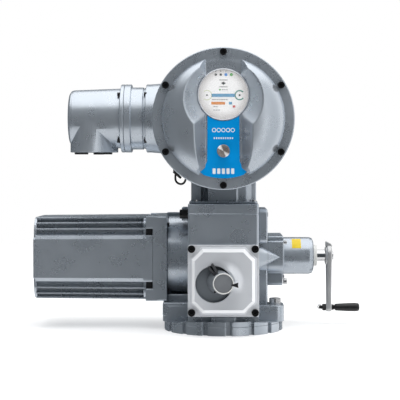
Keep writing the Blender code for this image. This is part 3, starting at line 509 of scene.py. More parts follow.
def cap_screw(name, place, out, head_r, head_t, slot="black_steel", body="root", replaced=()):
    """A socket head with its hexagon recess. Place is the middle of the seat, and the head points out."""
    size = (head_r, head_t)
    if size not in SCREW_MESHES:
        profile = [(0, 0), (head_r, 0), (head_r, head_t, head_r * 0.18), (head_r * 0.8, head_t), (0, head_t)]
        head = lathe("screw_head", profile, Z_AXIS, (0, 0, 0), 40, 0.0002)
        socket = prism("socket", polygon(6, head_r * 0.56), Z_AXIS, head_t * 0.35, head_t + 0.01, 0)
        SCREW_MESHES[size] = cut(head, socket).data
        bpy.data.objects.remove(head)
    screw = linked(name, SCREW_MESHES[size].copy())
    screw.location = place
    screw.rotation_mode = "QUATERNION"
    screw.rotation_quaternion = Vector(Z_AXIS).rotation_difference(Vector(out))
    return show(screw, slot, body, replaced)


def tube(name, points, radius, slot, body="root", replaced=()):
    """A round wire or strap along a smooth line through the points, with round ends."""
    curve = bpy.data.curves.new(name, "CURVE")
    curve.dimensions = "3D"
    curve.bevel_depth = radius
    curve.bevel_resolution = 4
    curve.use_fill_caps = True
    line = curve.splines.new("NURBS")
    line.points.add(len(points) - 1)
    for knot, point in zip(line.points, points):
        knot.co = (*point, 1.0)
    line.use_endpoint_u = True
    line.order_u = 3
    line.resolution_u = 8
    return show(linked(name, curve), slot, body, replaced)


def grid_mesh(name, points, closed=False, sharp=30):
    """A surface through rows of points. A closed grid joins the last column of each row to its first."""
    rows, columns = len(points), len(points[0])
    indices = np.arange(rows * columns).reshape(rows, columns)
    if closed:
        indices = np.hstack([indices, indices[:, :1]])
    corners = (indices[:-1, :-1], indices[:-1, 1:], indices[1:, 1:], indices[1:, :-1])
    faces = np.stack([corner.ravel() for corner in corners], axis=1)
    mesh = bpy.data.meshes.new(name)
    mesh.from_pydata(np.asarray(points, dtype=float).reshape(-1, 3).tolist(), [], faces.tolist())
    bm = bmesh.new()
    bm.from_mesh(mesh)
    bpy.data.meshes.remove(mesh)
    bmesh.ops.remove_doubles(bm, verts=bm.verts, dist=1e-7)
    return made_object(bm, name, sharp)


def soft_min(first, second, width):
    """The lower of two heights, with a rounded meeting line."""
    gap = np.clip(0.5 + 0.5 * (second - first) / width, 0.0, 1.0)
    return second * (1 - gap) + first * gap - width * gap * (1 - gap)


def smooth_step(value, start, end):
    share = np.clip((value - start) / (end - start), 0.0, 1.0)
    return share * share * (3 - 2 * share)


# ---------------------------------------------------------------- foot and gear housing

FOOT_LOW, FOOT_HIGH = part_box("base_flange")
GEAR_LOW, GEAR_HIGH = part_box("gear_housing")
SIDE_LOW, SIDE_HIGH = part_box("side_cover")
PLUG_LOW, PLUG_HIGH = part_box("oil_plug")
CRANK_LOW, CRANK_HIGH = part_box("crank_housing")
BLOCK_X, BLOCK_FRONT, BLOCK_BACK = 0.0575, -0.099, 0.095
EAR_X, EAR_R, EAR_TOP = 0.0875, 0.0145, 0.0415
BARREL = [(-0.0095, 0.0915, 0.024), (0.1055, 0.0915, 0.024)]
BARREL += [(0.1055, 0.1492, 0.004), (-0.0095, 0.1492, 0.004)]
BARREL = rounded(BARREL, 0.01, 12)
CONE = (0, -0.0095, 0.1215)


def make_foot():
    notches, depth, half_gap = 16, 0.0055, math.radians(2.5)
    radius = FOOT_HIGH.x
    pitch = math.tau / notches
    outline = []
    for notch in range(notches):
        middle = math.radians(4.9 - 90) + notch * pitch
        outer, inner = (radius, 0.003), (radius - depth, 0.001)
        for turn, (reach, corner) in zip((-1, -1, 1, 1), (outer, inner, inner, outer)):
            outline.append((*across(middle + turn * half_gap, reach), corner))
        for step in range(1, 9):
            outline.append((*across(middle + half_gap + (pitch - 2 * half_gap) * step / 9, radius), 0))
    outline = rounded(outline, 0.001, 3)
    foot = prism("foot_ring", outline, Z_AXIS, FOOT_LOW.z, FOOT_HIGH.z, 0.0009)
    front = [(x * 0.999, y * 0.999) for x, y in outline if y < -0.024]
    skirt = prism("foot_skirt", front, Z_AXIS, FOOT_HIGH.z + GAP, 0.0226, 0.0003)
    for vert in skirt.data.vertices:
        if vert.co.z > 0.018:
            vert.co.z -= max(0.0, abs(vert.co.x) - 0.04) * 0.13
    painted(skirt)
    holes = [disc("recess", 0.05, -0.01, 0.03, Z_AXIS, (0, 0, 0), 96, 0)]
    for _, x, y in places_round(4, 0.07, 45):
        holes.append(disc("hole", 0.0085, -0.01, 0.03, Z_AXIS, (x, y, 0), 40, 0))
    painted(cut(foot, *holes), "base_flange")
    seat = (EAR_X, 0, EAR_TOP)
    cap_screw("ear_screw_right", seat, Z_AXIS, 0.0098, 0.01, "steel", replaced=("foot_bolt_right",))


def make_gear_housing():
    low, high = GEAR_LOW.z, GEAR_HIGH.z
    seam = high - 0.016
    middle, half = (BLOCK_FRONT + BLOCK_BACK) / 2, (BLOCK_BACK - BLOCK_FRONT) / 2
    outline = rectangle(BLOCK_X, half, 0.0045, (0, middle))
    housing = prism("gear_casting", outline, Z_AXIS, low, seam - 0.0004, 0.0006)
    core = rectangle(BLOCK_X - 0.0007, half - 0.0007, 0.004, (0, middle))
    ears = rectangle(EAR_X + EAR_R, 0.029, EAR_R - 0.0001, steps=14)
    end = CRANK_LOW.x - GAP
    cone = [(0, 0.05), (0.0255, 0.05), (0.0118, end), (0, end)]
    parts = [
        prism("block_core", core, Z_AXIS, low + 0.01, high - 0.005, 0),
        prism("block_top", outline, Z_AXIS, seam, high, 0.0015),
        prism("ear_bar", ears, Z_AXIS, low, EAR_TOP, 0.0012),
        disc("motor_neck", 0.07, PLATE_HIGH.x + GAP, -0.04, X_AXIS, LINE, 128, 0.001),
        block("side_boss", (0.045, -0.005, 0.0395), (0.075, 0.088, 0.11), 0.0022),
        prism("barrel_root", BARREL, X_AXIS, 0.045, end, 0.0004),
        lathe("cone_root", cone, X_AXIS, CONE, 64, 0.0003),
        block("plug_boss", (-0.0705, -0.016, 0.183), (-0.05, 0.012, 0.2062), 0.0025),
        block("neck_crest", (-0.0982, 0.042, 0.165), (-0.05, 0.064, 0.195), 0.0015),
        block("neck_web", (-0.0955, -0.005, low + 0.01), (-0.05, 0.075, 0.058), 0.0015),
        block("ear_pad", (-EAR_X - EAR_R, -0.028, low + 0.01), (-0.05, 0.028, 0.0467), 0.002),
    ]
    housing = combined(housing, parts)
    toe = block("toe_space", (-0.07, -0.12, 0), (0.07, -0.08, 0.0312), 0)
    way = disc("shaft_way", 0.0112, 0.055, 0.12, X_AXIS, LINE, 48, 0)
    housing = cut(housing, toe, way)
    apron = disc("apron", 0.06, low, 0.036, Z_AXIS, (0, -0.024, 0), 128, 0.0016)
    pad = block("apron_pad", (-0.02, -0.0925, low), (0.019, -0.08, 0.03), 0.001)
    painted(combined(housing, [apron, pad]), "gear_housing")


def make_housing_fittings():
    outline = rectangle(0.055, 0.028, 0.009, (-0.02, 0.177), 8)
    painted(prism("flank_cover", outline, X_AXIS, SIDE_LOW.x, SIDE_HIGH.x, 0.0025, 4), "side_cover")
    for digits, y, z in corners(0.046, 0.019, (-0.02, 0.177)):
        cap_screw(f"flank_screw_{digits}", (SIDE_HIGH.x - 0.0004, y, z), X_AXIS, 0.0035, 0.0013)
    y, z = (PLUG_LOW.y + PLUG_HIGH.y) / 2 - 0.002, (PLUG_LOW.z + PLUG_HIGH.z) / 2 - 0.001
    plug = prism("filler_plug", polygon(12, 0.0076, (y, z)), X_AXIS, PLUG_LOW.x, -0.06, 0.0009)
    washer = disc("filler_washer", 0.0082, -0.0615, -0.0577, X_AXIS, (0, y, z), 40, 0.0006)
    show(combined(plug, [washer]), "black_steel", replaced=("oil_plug",))
    outline, back = rectangle(0.04, 0.052, 0.006, (0, 0.112)), 0.0985
    painted(prism("back_plate", outline, Y_AXIS, BLOCK_BACK + 0.0001, back, 0.0012))
    for digits, x, z in corners(0.033, 0.045, (0, 0.112)):
        cap_screw(f"back_screw_{digits}", (x, back, z), Y_AXIS, 0.0045, 0.0042)
    outline = rectangle(0.024, 0.013, 0.0015, (0, 0.12))
    show(prism("rating_plate", outline, Y_AXIS, back + 0.0001, 0.0993, 0.0002), "steel")


# ---------------------------------------------------------------- motor

MOTOR_LOW, MOTOR_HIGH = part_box("motor_housing")


def motor_section(pieces):
    """The outline of the motor from the corners of its upper front quarter, relative to its line."""
    upper = pieces + [(-p[0], *p[1:]) for p in reversed(pieces)]
    lower = [(-p[0], -p[1], *p[2:]) for p in upper]
    points = [(LINE_Y - p[0], LINE_Z + p[1], *p[2:]) for p in upper + lower]
    return rounded(points, 0.0006, 3)


def make_motor():
    fin_end, cap_start = -0.131, MOTOR_LOW.x + 0.0045
    flat = 0.033
    quarter = [(0.0735, flat, 0.0006), (0.0711, 0.039, 0.0006)]
    for root, fin_z, tip in ((0.06, 0.05, 0.0685), (0.0545, 0.06, 0.063)):
        quarter += [(root, fin_z - 0.0075, 0.0012), (root, fin_z - 0.0014, 0.001)]
        quarter += [(tip, fin_z - 0.0012, 0.0007), (tip, fin_z + 0.0012, 0.0007)]
    quarter += [(0.048, 0.0625, 0.001), (0.048, 0.0665, 0.001), (0.055, 0.0668, 0.0008)]
    quarter += [(0.055, 0.07, 0.0012), (0.03, 0.0705, 0)]
    section = motor_section(quarter)
    motor = prism("motor_casing", section, X_AXIS, fin_end, cap_start, 0.001, 2, 0.978)
    flange = rectangle(0.0655, 0.069, 0.02, LINE[1:], 10)
    front_pad = [(0.0735, flat), (0.0735, -flat), (0.0711, -0.039)]
    front_pad += [(0.03, -0.039), (0.03, 0.039), (0.0711, 0.039)]
    pads = []
    for side in (-1, 1):
        points = [(LINE_Y + side * y, LINE_Z + z) for y, z in front_pad]
        pads.append(prism(f"pad_{side}", points, X_AXIS, MOTOR_HIGH.x, fin_end - 0.004, 0.0004))
    parts = [prism("motor_flange", flange, X_AXIS, MOTOR_HIGH.x, fin_end - 0.004, 0.0005)] + pads
    end_cap = [(0.0716, flat - 0.0005, 0.0008), (0.0655, flat + 0.002, 0.0008), (0.064, 0.048, 0.004)]
    end_cap += [(0.061, 0.056, 0.003), (0.053, 0.066, 0.004), (0.044, 0.0686, 0.002)]
    cap_face = MOTOR_LOW.x + 0.0014
    parts.append(prism("end_cap", motor_section(end_cap), X_AXIS, cap_start + 0.0012, cap_face, 0.0008, 3))
    painted(combined(motor, parts), "motor_housing")
    # Painted shadow: black blocks stand in the gaps between the flange lugs and the flats to darken them, not
    # seals.
    for digits, y, z in corners(0.0634, 0.0449, LINE[1:]):
        low, high = (-0.1304, y - 0.0034, z - 0.0053), (-0.115, y + 0.0034, z + 0.0053)
        show(block(f"corner_shadow_block_{digits}", low, high, 0.0004), "rubber", look=INK["black"])
    for number, y, z in places_round(4, 0.062, 45, LINE[1:]):
        cap_screw(f"end_cap_screw_{number}", (cap_face, y, z), (-1, 0, 0), 0.004, 0.0014)
    profile = [(0, cap_face), (0.03, cap_face), (0.029, MOTOR_LOW.x), (0, MOTOR_LOW.x)]
    painted(lathe("end_cap_seat", profile, X_AXIS, LINE, 64, 0.0002))

    outline = rectangle(0.0755, 0.0712, 0.004, LINE[1:], 6)
    plate = prism("motor_plate", outline, X_AXIS, PLATE_LOW.x + 0.0142, PLATE_HIGH.x, 0.0012)
    lugs = []
    for digits, y, z in corners(0.0688, 0.0608, LINE[1:]):
        lug = rectangle(0.0066, 0.0103, 0.0018, (y, z), 5)
        lugs.append(prism(f"lug_{digits}", lug, X_AXIS, -0.1306, -0.11, 0.0008))
    painted(combined(plate, lugs), "motor_end_plate")
    for digits, y, z in corners(0.0545, 0.056, LINE[1:]):
        cap_screw(f"plate_screw_{digits}", (PLATE_HIGH.x, y, z), X_AXIS, 0.0038, 0.0036)


# ---------------------------------------------------------------- hand crank

GRIP_LOW, GRIP_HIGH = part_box("crank_grip")
BUSH_LOW, BUSH_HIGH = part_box("crank_bush")
CRANK_R = LINE_Z - (GRIP_LOW.z + GRIP_HIGH.z) / 2
TUBE_R = 0.0318


def make_crank_housing():
    start, end = CRANK_LOW.x, 0.1017
    tube_end = CRANK_HIGH.x
    housing = prism("crank_casting", BARREL, X_AXIS, start, end, 0.0012)
    lower = rectangle(0.043, 0.015, 0.007, (0.057, 0.086), 8)
    profile = [(0, 0.09), (TUBE_R, 0.09), (TUBE_R, tube_end - 0.0075), (TUBE_R - 0.0018, tube_end - 0.0022)]
    profile += [(TUBE_R - 0.007, tube_end), (0, tube_end)]
    outer = TUBE_R + 0.0013
    collar = [(0, 0.095), (outer, 0.095), (outer, 0.1035), (TUBE_R - 0.001, 0.105), (0, 0.105)]
    cone = [(0, start), (0.0118, start), (0.0004, 0.0955), (0, 0.0955)]
    parts = [
        prism("lower_boss", lower, X_AXIS, start, end - 0.0004, 0.0015),
        lathe("crank_tube", profile, X_AXIS, LINE, 128, 0.0022),
        lathe("tube_collar", collar, X_AXIS, LINE, 128, 0.0005),
        lathe("cone_tip", cone, X_AXIS, CONE, 64, 0.0001),
    ]
    way = disc("crank_way", 0.0104, 0.06, 0.17, X_AXIS, LINE, 48, 0)
    painted(cut(combined(housing, parts), way), "crank_housing")
    top = rectangle(0.054, 0.004, 0.0034, (0.0505, 0.1525), 8)
    painted(prism("crank_top_bar", top, X_AXIS, start + 0.0002, end, 0.0008))
    large, small = (0.0046, 0.0064), (0.003, 0.0062)
    screws = ((0.006, 0.0795, large), (0.092, 0.0795, large), (0.003, 0.146, small), (0.094, 0.146, small))
    for index, (y, z, size) in enumerate(screws):
        cap_screw(f"crank_screw_{index + 1}", (end, y, z), X_AXIS, *size, slot="steel")
    patch = []
    for row in range(25):
        elevation = math.radians(27 + 40 * row / 24)
        y, z = across(elevation, TUBE_R + 0.00025)
        patch.append([(0.118 + 0.0155 * column / 12, LINE_Y - y, LINE_Z + z) for column in range(13)])
    show(grid_mesh("tube_patch", patch), "label", look=YELLOW_FOIL)
    bush = ring("shaft_bush", 0.0104, 0.018, BUSH_LOW.x, BUSH_HIGH.x, X_AXIS, LINE, 64, 0.0008)
    show(bush, "pale_plastic", replaced=("crank_bush",))


def lever_outline():
    """A lever that narrows from its hub down to the eye of the grip."""
    hub_r, eye_r = 0.02, 0.0076
    lean = math.asin((hub_r - eye_r) / CRANK_R)
    points = []
    for step in range(37):
        y, z = across(-lean + step / 36 * (math.pi + 2 * lean), hub_r)
        points.append((LINE_Y + y, LINE_Z + z))
    for step in range(25):
        y, z = across(math.pi + lean + step / 24 * (math.pi - 2 * lean), eye_r)
        points.append((LINE_Y + y, LINE_Z - CRANK_R + z))
    return points


def make_crank():
    eye = (0, LINE_Y, LINE_Z - CRANK_R)
    lever = prism("lever", lever_outline(), X_AXIS, 0.1796, 0.1872, 0.0016, 4)
    crown = [(0.1782, 0.136), (0.1888, 0.136), (0.1868, 0.1405), (0.1798, 0.1438), (0.1782, 0.1436)]
    hub = [(0, 0.177), (0.015, 0.177), (0.0165, 0.18), (0.0165, 0.1862), (0.012, 0.1888), (0, 0.1888)]
    parts = [
        prism("lever_crown", crown, Y_AXIS, LINE_Y - 0.0095, LINE_Y + 0.0095, 0.0008),
        lathe("lever_hub", hub, X_AXIS, LINE, 64, 0.0012),
        disc("lever_eye", 0.0066, 0.1784, 0.1882, X_AXIS, eye, 40, 0.0008),
    ]
    show(combined(lever, parts), "crank_metal", "crank", ("crank_arm",))
    profile = [(0, 0.08), (0.0097, 0.08), (0.0097, 0.124), (0.0145, 0.124), (0.0145, 0.128), (0.0097, 0.128)]
    profile += [(0.0097, 0.1762), (0.0062, 0.1762), (0.0062, 0.1905), (0.0055, 0.1912), (0, 0.1912)]
    shaft = lathe("polished_shaft", profile, X_AXIS, LINE, 96, 0.0003)
    show(shaft, "bright_steel", "crank", ("crank_shaft",))
    nut = prism("arm_nut", polygon(6, 0.0062, eye[1:]), X_AXIS, 0.1722, 0.1781, 0.0006)
    show(nut, "black_steel", "crank")
    profile = [(0, 0.1665), (0.003, 0.1665), (0.003, 0.188), (0.0048, 0.1885), (0.0048, 0.1915)]
    profile += [(0.0036, 0.1925), (0.0036, 0.1945), (0.0026, 0.195)]
    profile += [(0.0026, GRIP_HIGH.x - 0.004), (0, GRIP_HIGH.x - 0.004)]
    show(lathe("grip_axle", profile, X_AXIS, eye, 40, 0.0003), "black_steel", "crank", ("grip_spindle",))
    hook = []
    for step in range(9):
        x, z = across(math.radians(-120 + 255 * step / 8), 1)
        hook.append((0.1672 - 0.0032 * x, LINE_Y - 0.003, eye[2] + 0.0012 + 0.0036 * z))
    tube("retaining_clip", hook, 0.0007, "bright_steel", "crank")
    r = GRIP_HIGH.z - eye[2]
    start, end = GRIP_LOW.x, GRIP_HIGH.x
    profile = [(0.003, start), (r - 0.0022, start), (r - 0.0014, start + 0.002), (r - 0.001, start + 0.008)]
    profile += [(r - 0.0002, start + 0.022), (r, start + 0.0345), (r - 0.0003, start + 0.0385)]
    profile += [(r - 0.0009, start + 0.0392), (r - 0.0003, start + 0.04), (r - 0.0012, end - 0.001)]
    profile += [(r - 0.0028, end), (0, end), (0, end - 0.0036), (0.003, end - 0.0036)]
    show(lathe("turning_grip", profile, X_AXIS, eye, 64, 0.0006), "black_plastic", "grip", ("crank_grip",))


# ---------------------------------------------------------------- position indicator

PANEL_LOW, PANEL_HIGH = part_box("indicator_cover")
PANEL_X = PANEL_HIGH.x
PANEL_Z = (PANEL_LOW.z + PANEL_HIGH.z) / 2
PANEL_BACK = PANEL_HIGH.y
PANEL_FRONT = PANEL_BACK - 0.0107
STUB_FRONT = PANEL_LOW.y
DISH, DISH_R = (-0.0155, -0.005), 0.0298


def platform_inside(x, z):
    """How far the points lie inside the foot of the eight-cornered platform."""
    x, z = np.abs(x), np.abs(z)
    return -np.maximum(np.maximum(x - 0.054, z - 0.0545), (x + z - 0.0895) / math.sqrt(2))


def panel_height(x, z):
    """Height of the indicator cover's face in front of its flange, in metres."""
    inside = platform_inside(x, z)
    ledge = 0.0014 * smooth_step(inside, 0.0, 0.0012)
    slope = np.clip((inside - 0.0022) * 1.15, 0.0, None)
    height = soft_min(ledge + slope, np.full_like(x, 0.008), 0.0003)
    reach = np.hypot(x - DISH[0], z - DISH[1])
    height -= 0.0078 * smooth_step(DISH_R - reach, 0.0, 0.0018)
    radius = np.hypot(x, z)
    side = smooth_step(x + 0.5 * z, 0.000, 0.024)
    fairing = 0.006 * np.clip(1 - (radius - 0.0185) / 0.016, 0.0, 1.0) ** 2
    return height + fairing * side


def make_panel():
    line = np.linspace(-PANEL_X + 0.0008, PANEL_X - 0.0008, 300)
    x, z = np.meshgrid(line, line)
    points = np.stack([x, PANEL_FRONT - panel_height(x, z), PANEL_Z + z], axis=-1)
    face = grid_mesh("indicator_face", points, sharp=28)
    show(face, "cover_paint", replaced=("indicator_cover",))
    face.data.materials.append(DISH_SHADE_PAINT)
    face.data.materials.append(BEVEL_HIGHLIGHT_PAINT)
    middles = np.array([side.center for side in face.data.polygons])
    x, z = middles[:, 0], middles[:, 2] - PANEL_Z
    inside = platform_inside(x, z)
    # Slot 2 gives the bevel band the painted highlight.
    slots = np.where((inside > 0.0032) & (inside < 0.008), 2, 0)
    # Slot 1 gives the dish floor the painted shade.
    slots[np.hypot(x - DISH[0], z - DISH[1]) < DISH_R - 0.0006] = 1
    face.data.polygons.foreach_set("material_index", slots.astype(np.int32))
    rim = rectangle(PANEL_X, PANEL_X, 0.004, (0, PANEL_Z), 6)
    flange = prism("indicator_flange", rim, Y_AXIS, PANEL_BACK, PANEL_FRONT + 0.00005, 0.0008)
    show(flange, "cover_paint", replaced=("indicator_cover",))
    centre = (0, 0, PANEL_Z)
    profile = [(0, -0.104), (0.0195, -0.104), (0.0168, STUB_FRONT + 0.0004), (0.016, STUB_FRONT)]
    profile += [(0.015, STUB_FRONT + 0.0003), (0.015, STUB_FRONT + 0.004), (0, STUB_FRONT + 0.004)]
    stub = lathe("sight_stub", profile, Y_AXIS, centre, 96, 0.0004)
    for vert in stub.data.vertices:
        share = max(0.0, vert.co.y - STUB_FRONT - 0.0045) / 0.038
        vert.co.x -= 0.0068 * share
        vert.co.z -= 0.0012 * share
    # The sight stub wears the dish's painted shade.
    show(stub, "housing_paint", replaced=("indicator_cover",), look=DISH_SHADE_PAINT)
    deep, shallow = STUB_FRONT + 0.003, STUB_FRONT + 0.001
    profile = [(0, deep), (0.0147, deep), (0.0147, shallow), (0, STUB_FRONT + 0.0004)]
    window = lathe("sight_window", profile, Y_AXIS, centre, 64, 0.0003)
    show(window, "glass", replaced=("sight_glass",), look=SMOKED_GLASS)
    front = STUB_FRONT - 0.0006
    rim = ring("sight_ring", 0.0149, 0.0165, front, STUB_FRONT + 0.004, Y_AXIS, centre, 96, 0.0005)
    show(rim, "pale_plastic")
    for digits, x, z in corners(0.0512, 0.0512, (0, PANEL_Z)):
        cap_screw(f"panel_screw_{digits}", (x, PANEL_FRONT, z), (0, -1, 0), 0.006, 0.0046)
    tip = [(0.0108, -0.0022), (0.0237, 0.0022), (0.023, -0.002), (0.0237, -0.0066)]
    tip = rounded([(x, PANEL_Z + z) for x, z in tip], 0.0006, 4)
    pointer = prism("pointer_mark", tip, Y_AXIS, STUB_FRONT - 0.0008, STUB_FRONT - 0.0014, 0.0002)
    show(pointer, "black_plastic", look=INK["black"])
    seat = [(0.015, -0.0018), (0.0226, 0.0008), (0.0226, -0.0052), (0.015, -0.0026)]
    seat = [(x, PANEL_Z + z) for x, z in seat]
    show(prism("pointer_seat", seat, Y_AXIS, -0.12, STUB_FRONT - 0.0007, 0.0004), "cover_paint")
    for name, turn in (("fork_left", 136), ("fork_right", 123)):
        outline = [(0.0155, -0.112), (0.0335, -0.112), (0.0335, -0.1225), (0.0155, STUB_FRONT + 0.0025)]
        bar = prism(name, outline, Z_AXIS, -0.0019, 0.0019, 0.0003)
        turned = Matrix.Rotation(math.radians(-turn), 4, "Y")
        bar.data.transform(Matrix.Translation((0, 0, PANEL_Z)) @ turned)
        show(bar, "rubber", look=INK["black"])
    dot = disc("vent_dot", 0.0016, -0.15, -0.124, Y_AXIS, (-0.0134, 0, PANEL_Z - 0.0142), 24, 0.0004)
    show(dot, "black_steel")


# ---------------------------------------------------------------- electronics

DRUM_LOW, DRUM_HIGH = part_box("electronics_housing")
BAY_FLOOR = 0.0008
BAY_FRONT = RIM_FRONT - BAY_FLOOR
DRUM_R = 0.108
RIM_SCREW_R = 0.1064
DOME_MM = 98.5


def cover_height(x, z):
    """Height of the electronics cover's face in front of its rim, in millimetres; x and z from its middle."""
    r = np.hypot(x, z)
    dome = 31.5 * np.clip(1 - (r / DOME_MM) ** 4, 0.0, None) ** (1 / 1.7)
    display_z = (DISPLAY_Z - DOME_Z) * 1000
    floor = BAY_FLOOR * 1000 * (1 - smooth_step(r, 90.0, DOME_MM))
    ring_slope = 1.18 * (np.hypot(x, z - display_z) - 41.3)
    flare = 11.0 * smooth_step(-z, 76.0, 89.0)
    side_slope = 1.68 * (np.abs(x) - 28.3 - flare)
    scoop = np.maximum(soft_min(ring_slope, side_slope, 1.2), 0.0)
    height = soft_min(dome, floor + scoop, 2.2)
    for number, screw_x, screw_z in places_round(6, RIM_SCREW_R * 1000, 30):
        if number not in (2, 5):
            away = np.hypot(x - screw_x, z - screw_z)
            height = soft_min(height, np.clip(2.0 * (away - 8.0), 0.0, None) + 0.3, 2.5)
    return np.where(r < DOME_MM, np.clip(height, 0.0, None), 0.0)


def make_electronics_cover():
    sectors = 600
    inner = np.concatenate([np.linspace(0.6, 90.0, 92), np.linspace(90.8, 98.6, 20)])
    turn = np.linspace(0, math.tau, sectors, endpoint=False)
    rows = []
    for radius in inner:
        x, z = radius * np.cos(turn), radius * np.sin(turn)
        rows.append((x, -cover_height(x, z), z))
    edge = [(99.2, 0.0), (112.0, 0.0), (113.0, 0.3), (113.7, 0.9), (114.0, 1.9)]
    back = (RIM_BACK - RIM_FRONT) * 1000
    edge += [(114.0, back - 0.6), (113.4, back), (96.0, back), (94.0, back - 4.0), (0.5, back - 4.0)]
    for radius, depth in edge:
        rows.append((radius * np.cos(turn), np.full(sectors, depth), radius * np.sin(turn)))
    points = np.stack([np.stack(row, axis=-1) for row in rows]) / 1000
    points += np.array([0.0, RIM_FRONT, DOME_Z])
    painted(grid_mesh("front_cover", points, closed=True, sharp=40), "electronics_cover")
    for number, x, z in places_round(6, RIM_SCREW_R, 30, (0, DOME_Z)):
        hidden = (f"cover_screw_{number}",)
        cap_screw(f"rim_screw_{number}", (x, RIM_FRONT, z), (0, -1, 0), 0.0056, 0.0052, replaced=hidden)


def graphic(name, outline, look, proud=0.00015):
    """A flat mark on the display's face or the label, given by its outline in X and Z."""
    start = MARK_FACE["y"]
    piece = prism(name, outline, Y_AXIS, start, start - proud, 0)
    return show(piece, MARK_FACE["slot"], look=look)


MARK_FACE = {"y": 0.0, "slot": "screen"}


def arc_outline(centre, radius, width, start, end, steps=28):
    """The outline of a part of a ring."""
    turns = [math.radians(start + (end - start) * step / steps) for step in range(steps + 1)]
    points = [across(turn, radius) for turn in turns]
    points += [across(turn, radius - width) for turn in reversed(turns)]
    return [(centre[0] + a, centre[1] + b) for a, b in points]


def make_display():
    centre = (0, 0, DISPLAY_Z)
    face_y = BAY_FRONT - 0.0003
    bezel = [(0.0396, 0.003), (0.0396, -0.001), (0.0404, -0.0018), (0.0413, -0.0008), (0.0413, 0.003)]
    bezel = [(radius, face_y + depth) for radius, depth in bezel]
    show(lathe("display_bezel", bezel, Y_AXIS, centre, 128, 0.0003), "cover_paint")
    face = disc("display_face", 0.0394, face_y + 0.0025, face_y, Y_AXIS, centre, 128, 0)
    show(face, "screen", replaced=("display_module",))
    pane = disc("display_pane", 0.0396, face_y - 0.0004, face_y - 0.0014, Y_AXIS, centre, 128, 0.0003)
    show(pane, "glass", replaced=("display_window",))
    MARK_FACE.update(y=face_y - 0.00005, slot="screen")

    def at(x, z):
        return x / 1000, DISPLAY_Z + z / 1000

    def bar(name, x, z, half_x, half_z, look, corner=0.3):
        graphic(name, rectangle(half_x / 1000, half_z / 1000, corner / 1000, at(x, z), 3), INK[look])

    def row(name, count, x, pitch, z, half_x, half_z):
        for index in range(count):
            bar(f"{name}_{index + 1}", x + pitch * index, z, half_x, half_z, "grey", 0.2)

    lamps = ((-12.1, "black"), (-4.3, "black"), (4.0, "lamp_blue"), (12.7, "lamp_green"))
    for index, (x, look) in enumerate(lamps):
        graphic(f"lamp_{index + 1}", circle(0.002 if index < 2 else 0.0025, at(x, 31.4), 28), INK[look])
        bar(f"lamp_tick_{index + 1}", x, 37.0, 0.7, 1.1, "black" if index < 2 else "grey", 0.2)
    bar("dash_upper", 0, 22.9, 6.7, 0.45, "black", 0.1)
    bar("dash_lower", 0, 11.9, 6.7, 0.45, "black", 0.1)
    diamond = [at(4.0, 17.7), at(0, 20.3), at(-4.0, 17.7), at(0, 15.1)]
    graphic("flow_mark", diamond, INK["black"])
    graphic("state_dot", circle(0.0014, at(-5.6, 7.4), 20), INK["lamp_green"])
    row("state_bar", 3, -1.2, 3.4, 7.4, 1.2, 0.7)
    bar("travel_bar", 0, -1.6, 19.0, 2.6, "blue", 0.4)
    graphic("right_ring", arc_outline(at(25.9, -1.3), 0.0082, 0.0019, 42, 322), INK["teal"])
    graphic("left_ring", arc_outline(at(-26.2, -1.3), 0.008, 0.0009, -130, 130), INK["lime"])
    graphic("right_hub", circle(0.0017, at(25.9, -1.3), 20), INK["black"])
    graphic("left_hub", circle(0.0014, at(-26.2, -1.3), 20), INK["black"])
    row("scale_tick", 7, -16.8, 3.7, -8.3, 1.3, 0.9)
    bar("torque_bar", -8.3, -14.2, 11.0, 2.2, "orange", 0.4)
    bar("mode_tile", 11.3, -14.2, 2.6, 2.1, "blue", 0.4)
    bar("alarm_tile", 16.9, -19.3, 2.2, 1.7, "red", 0.3)
    row("note_upper", 2, -14.5, 3.8, -19.6, 1.4, 0.7)
    row("note_lower", 3, -14.5, 3.8, -25.0, 1.4, 0.7)


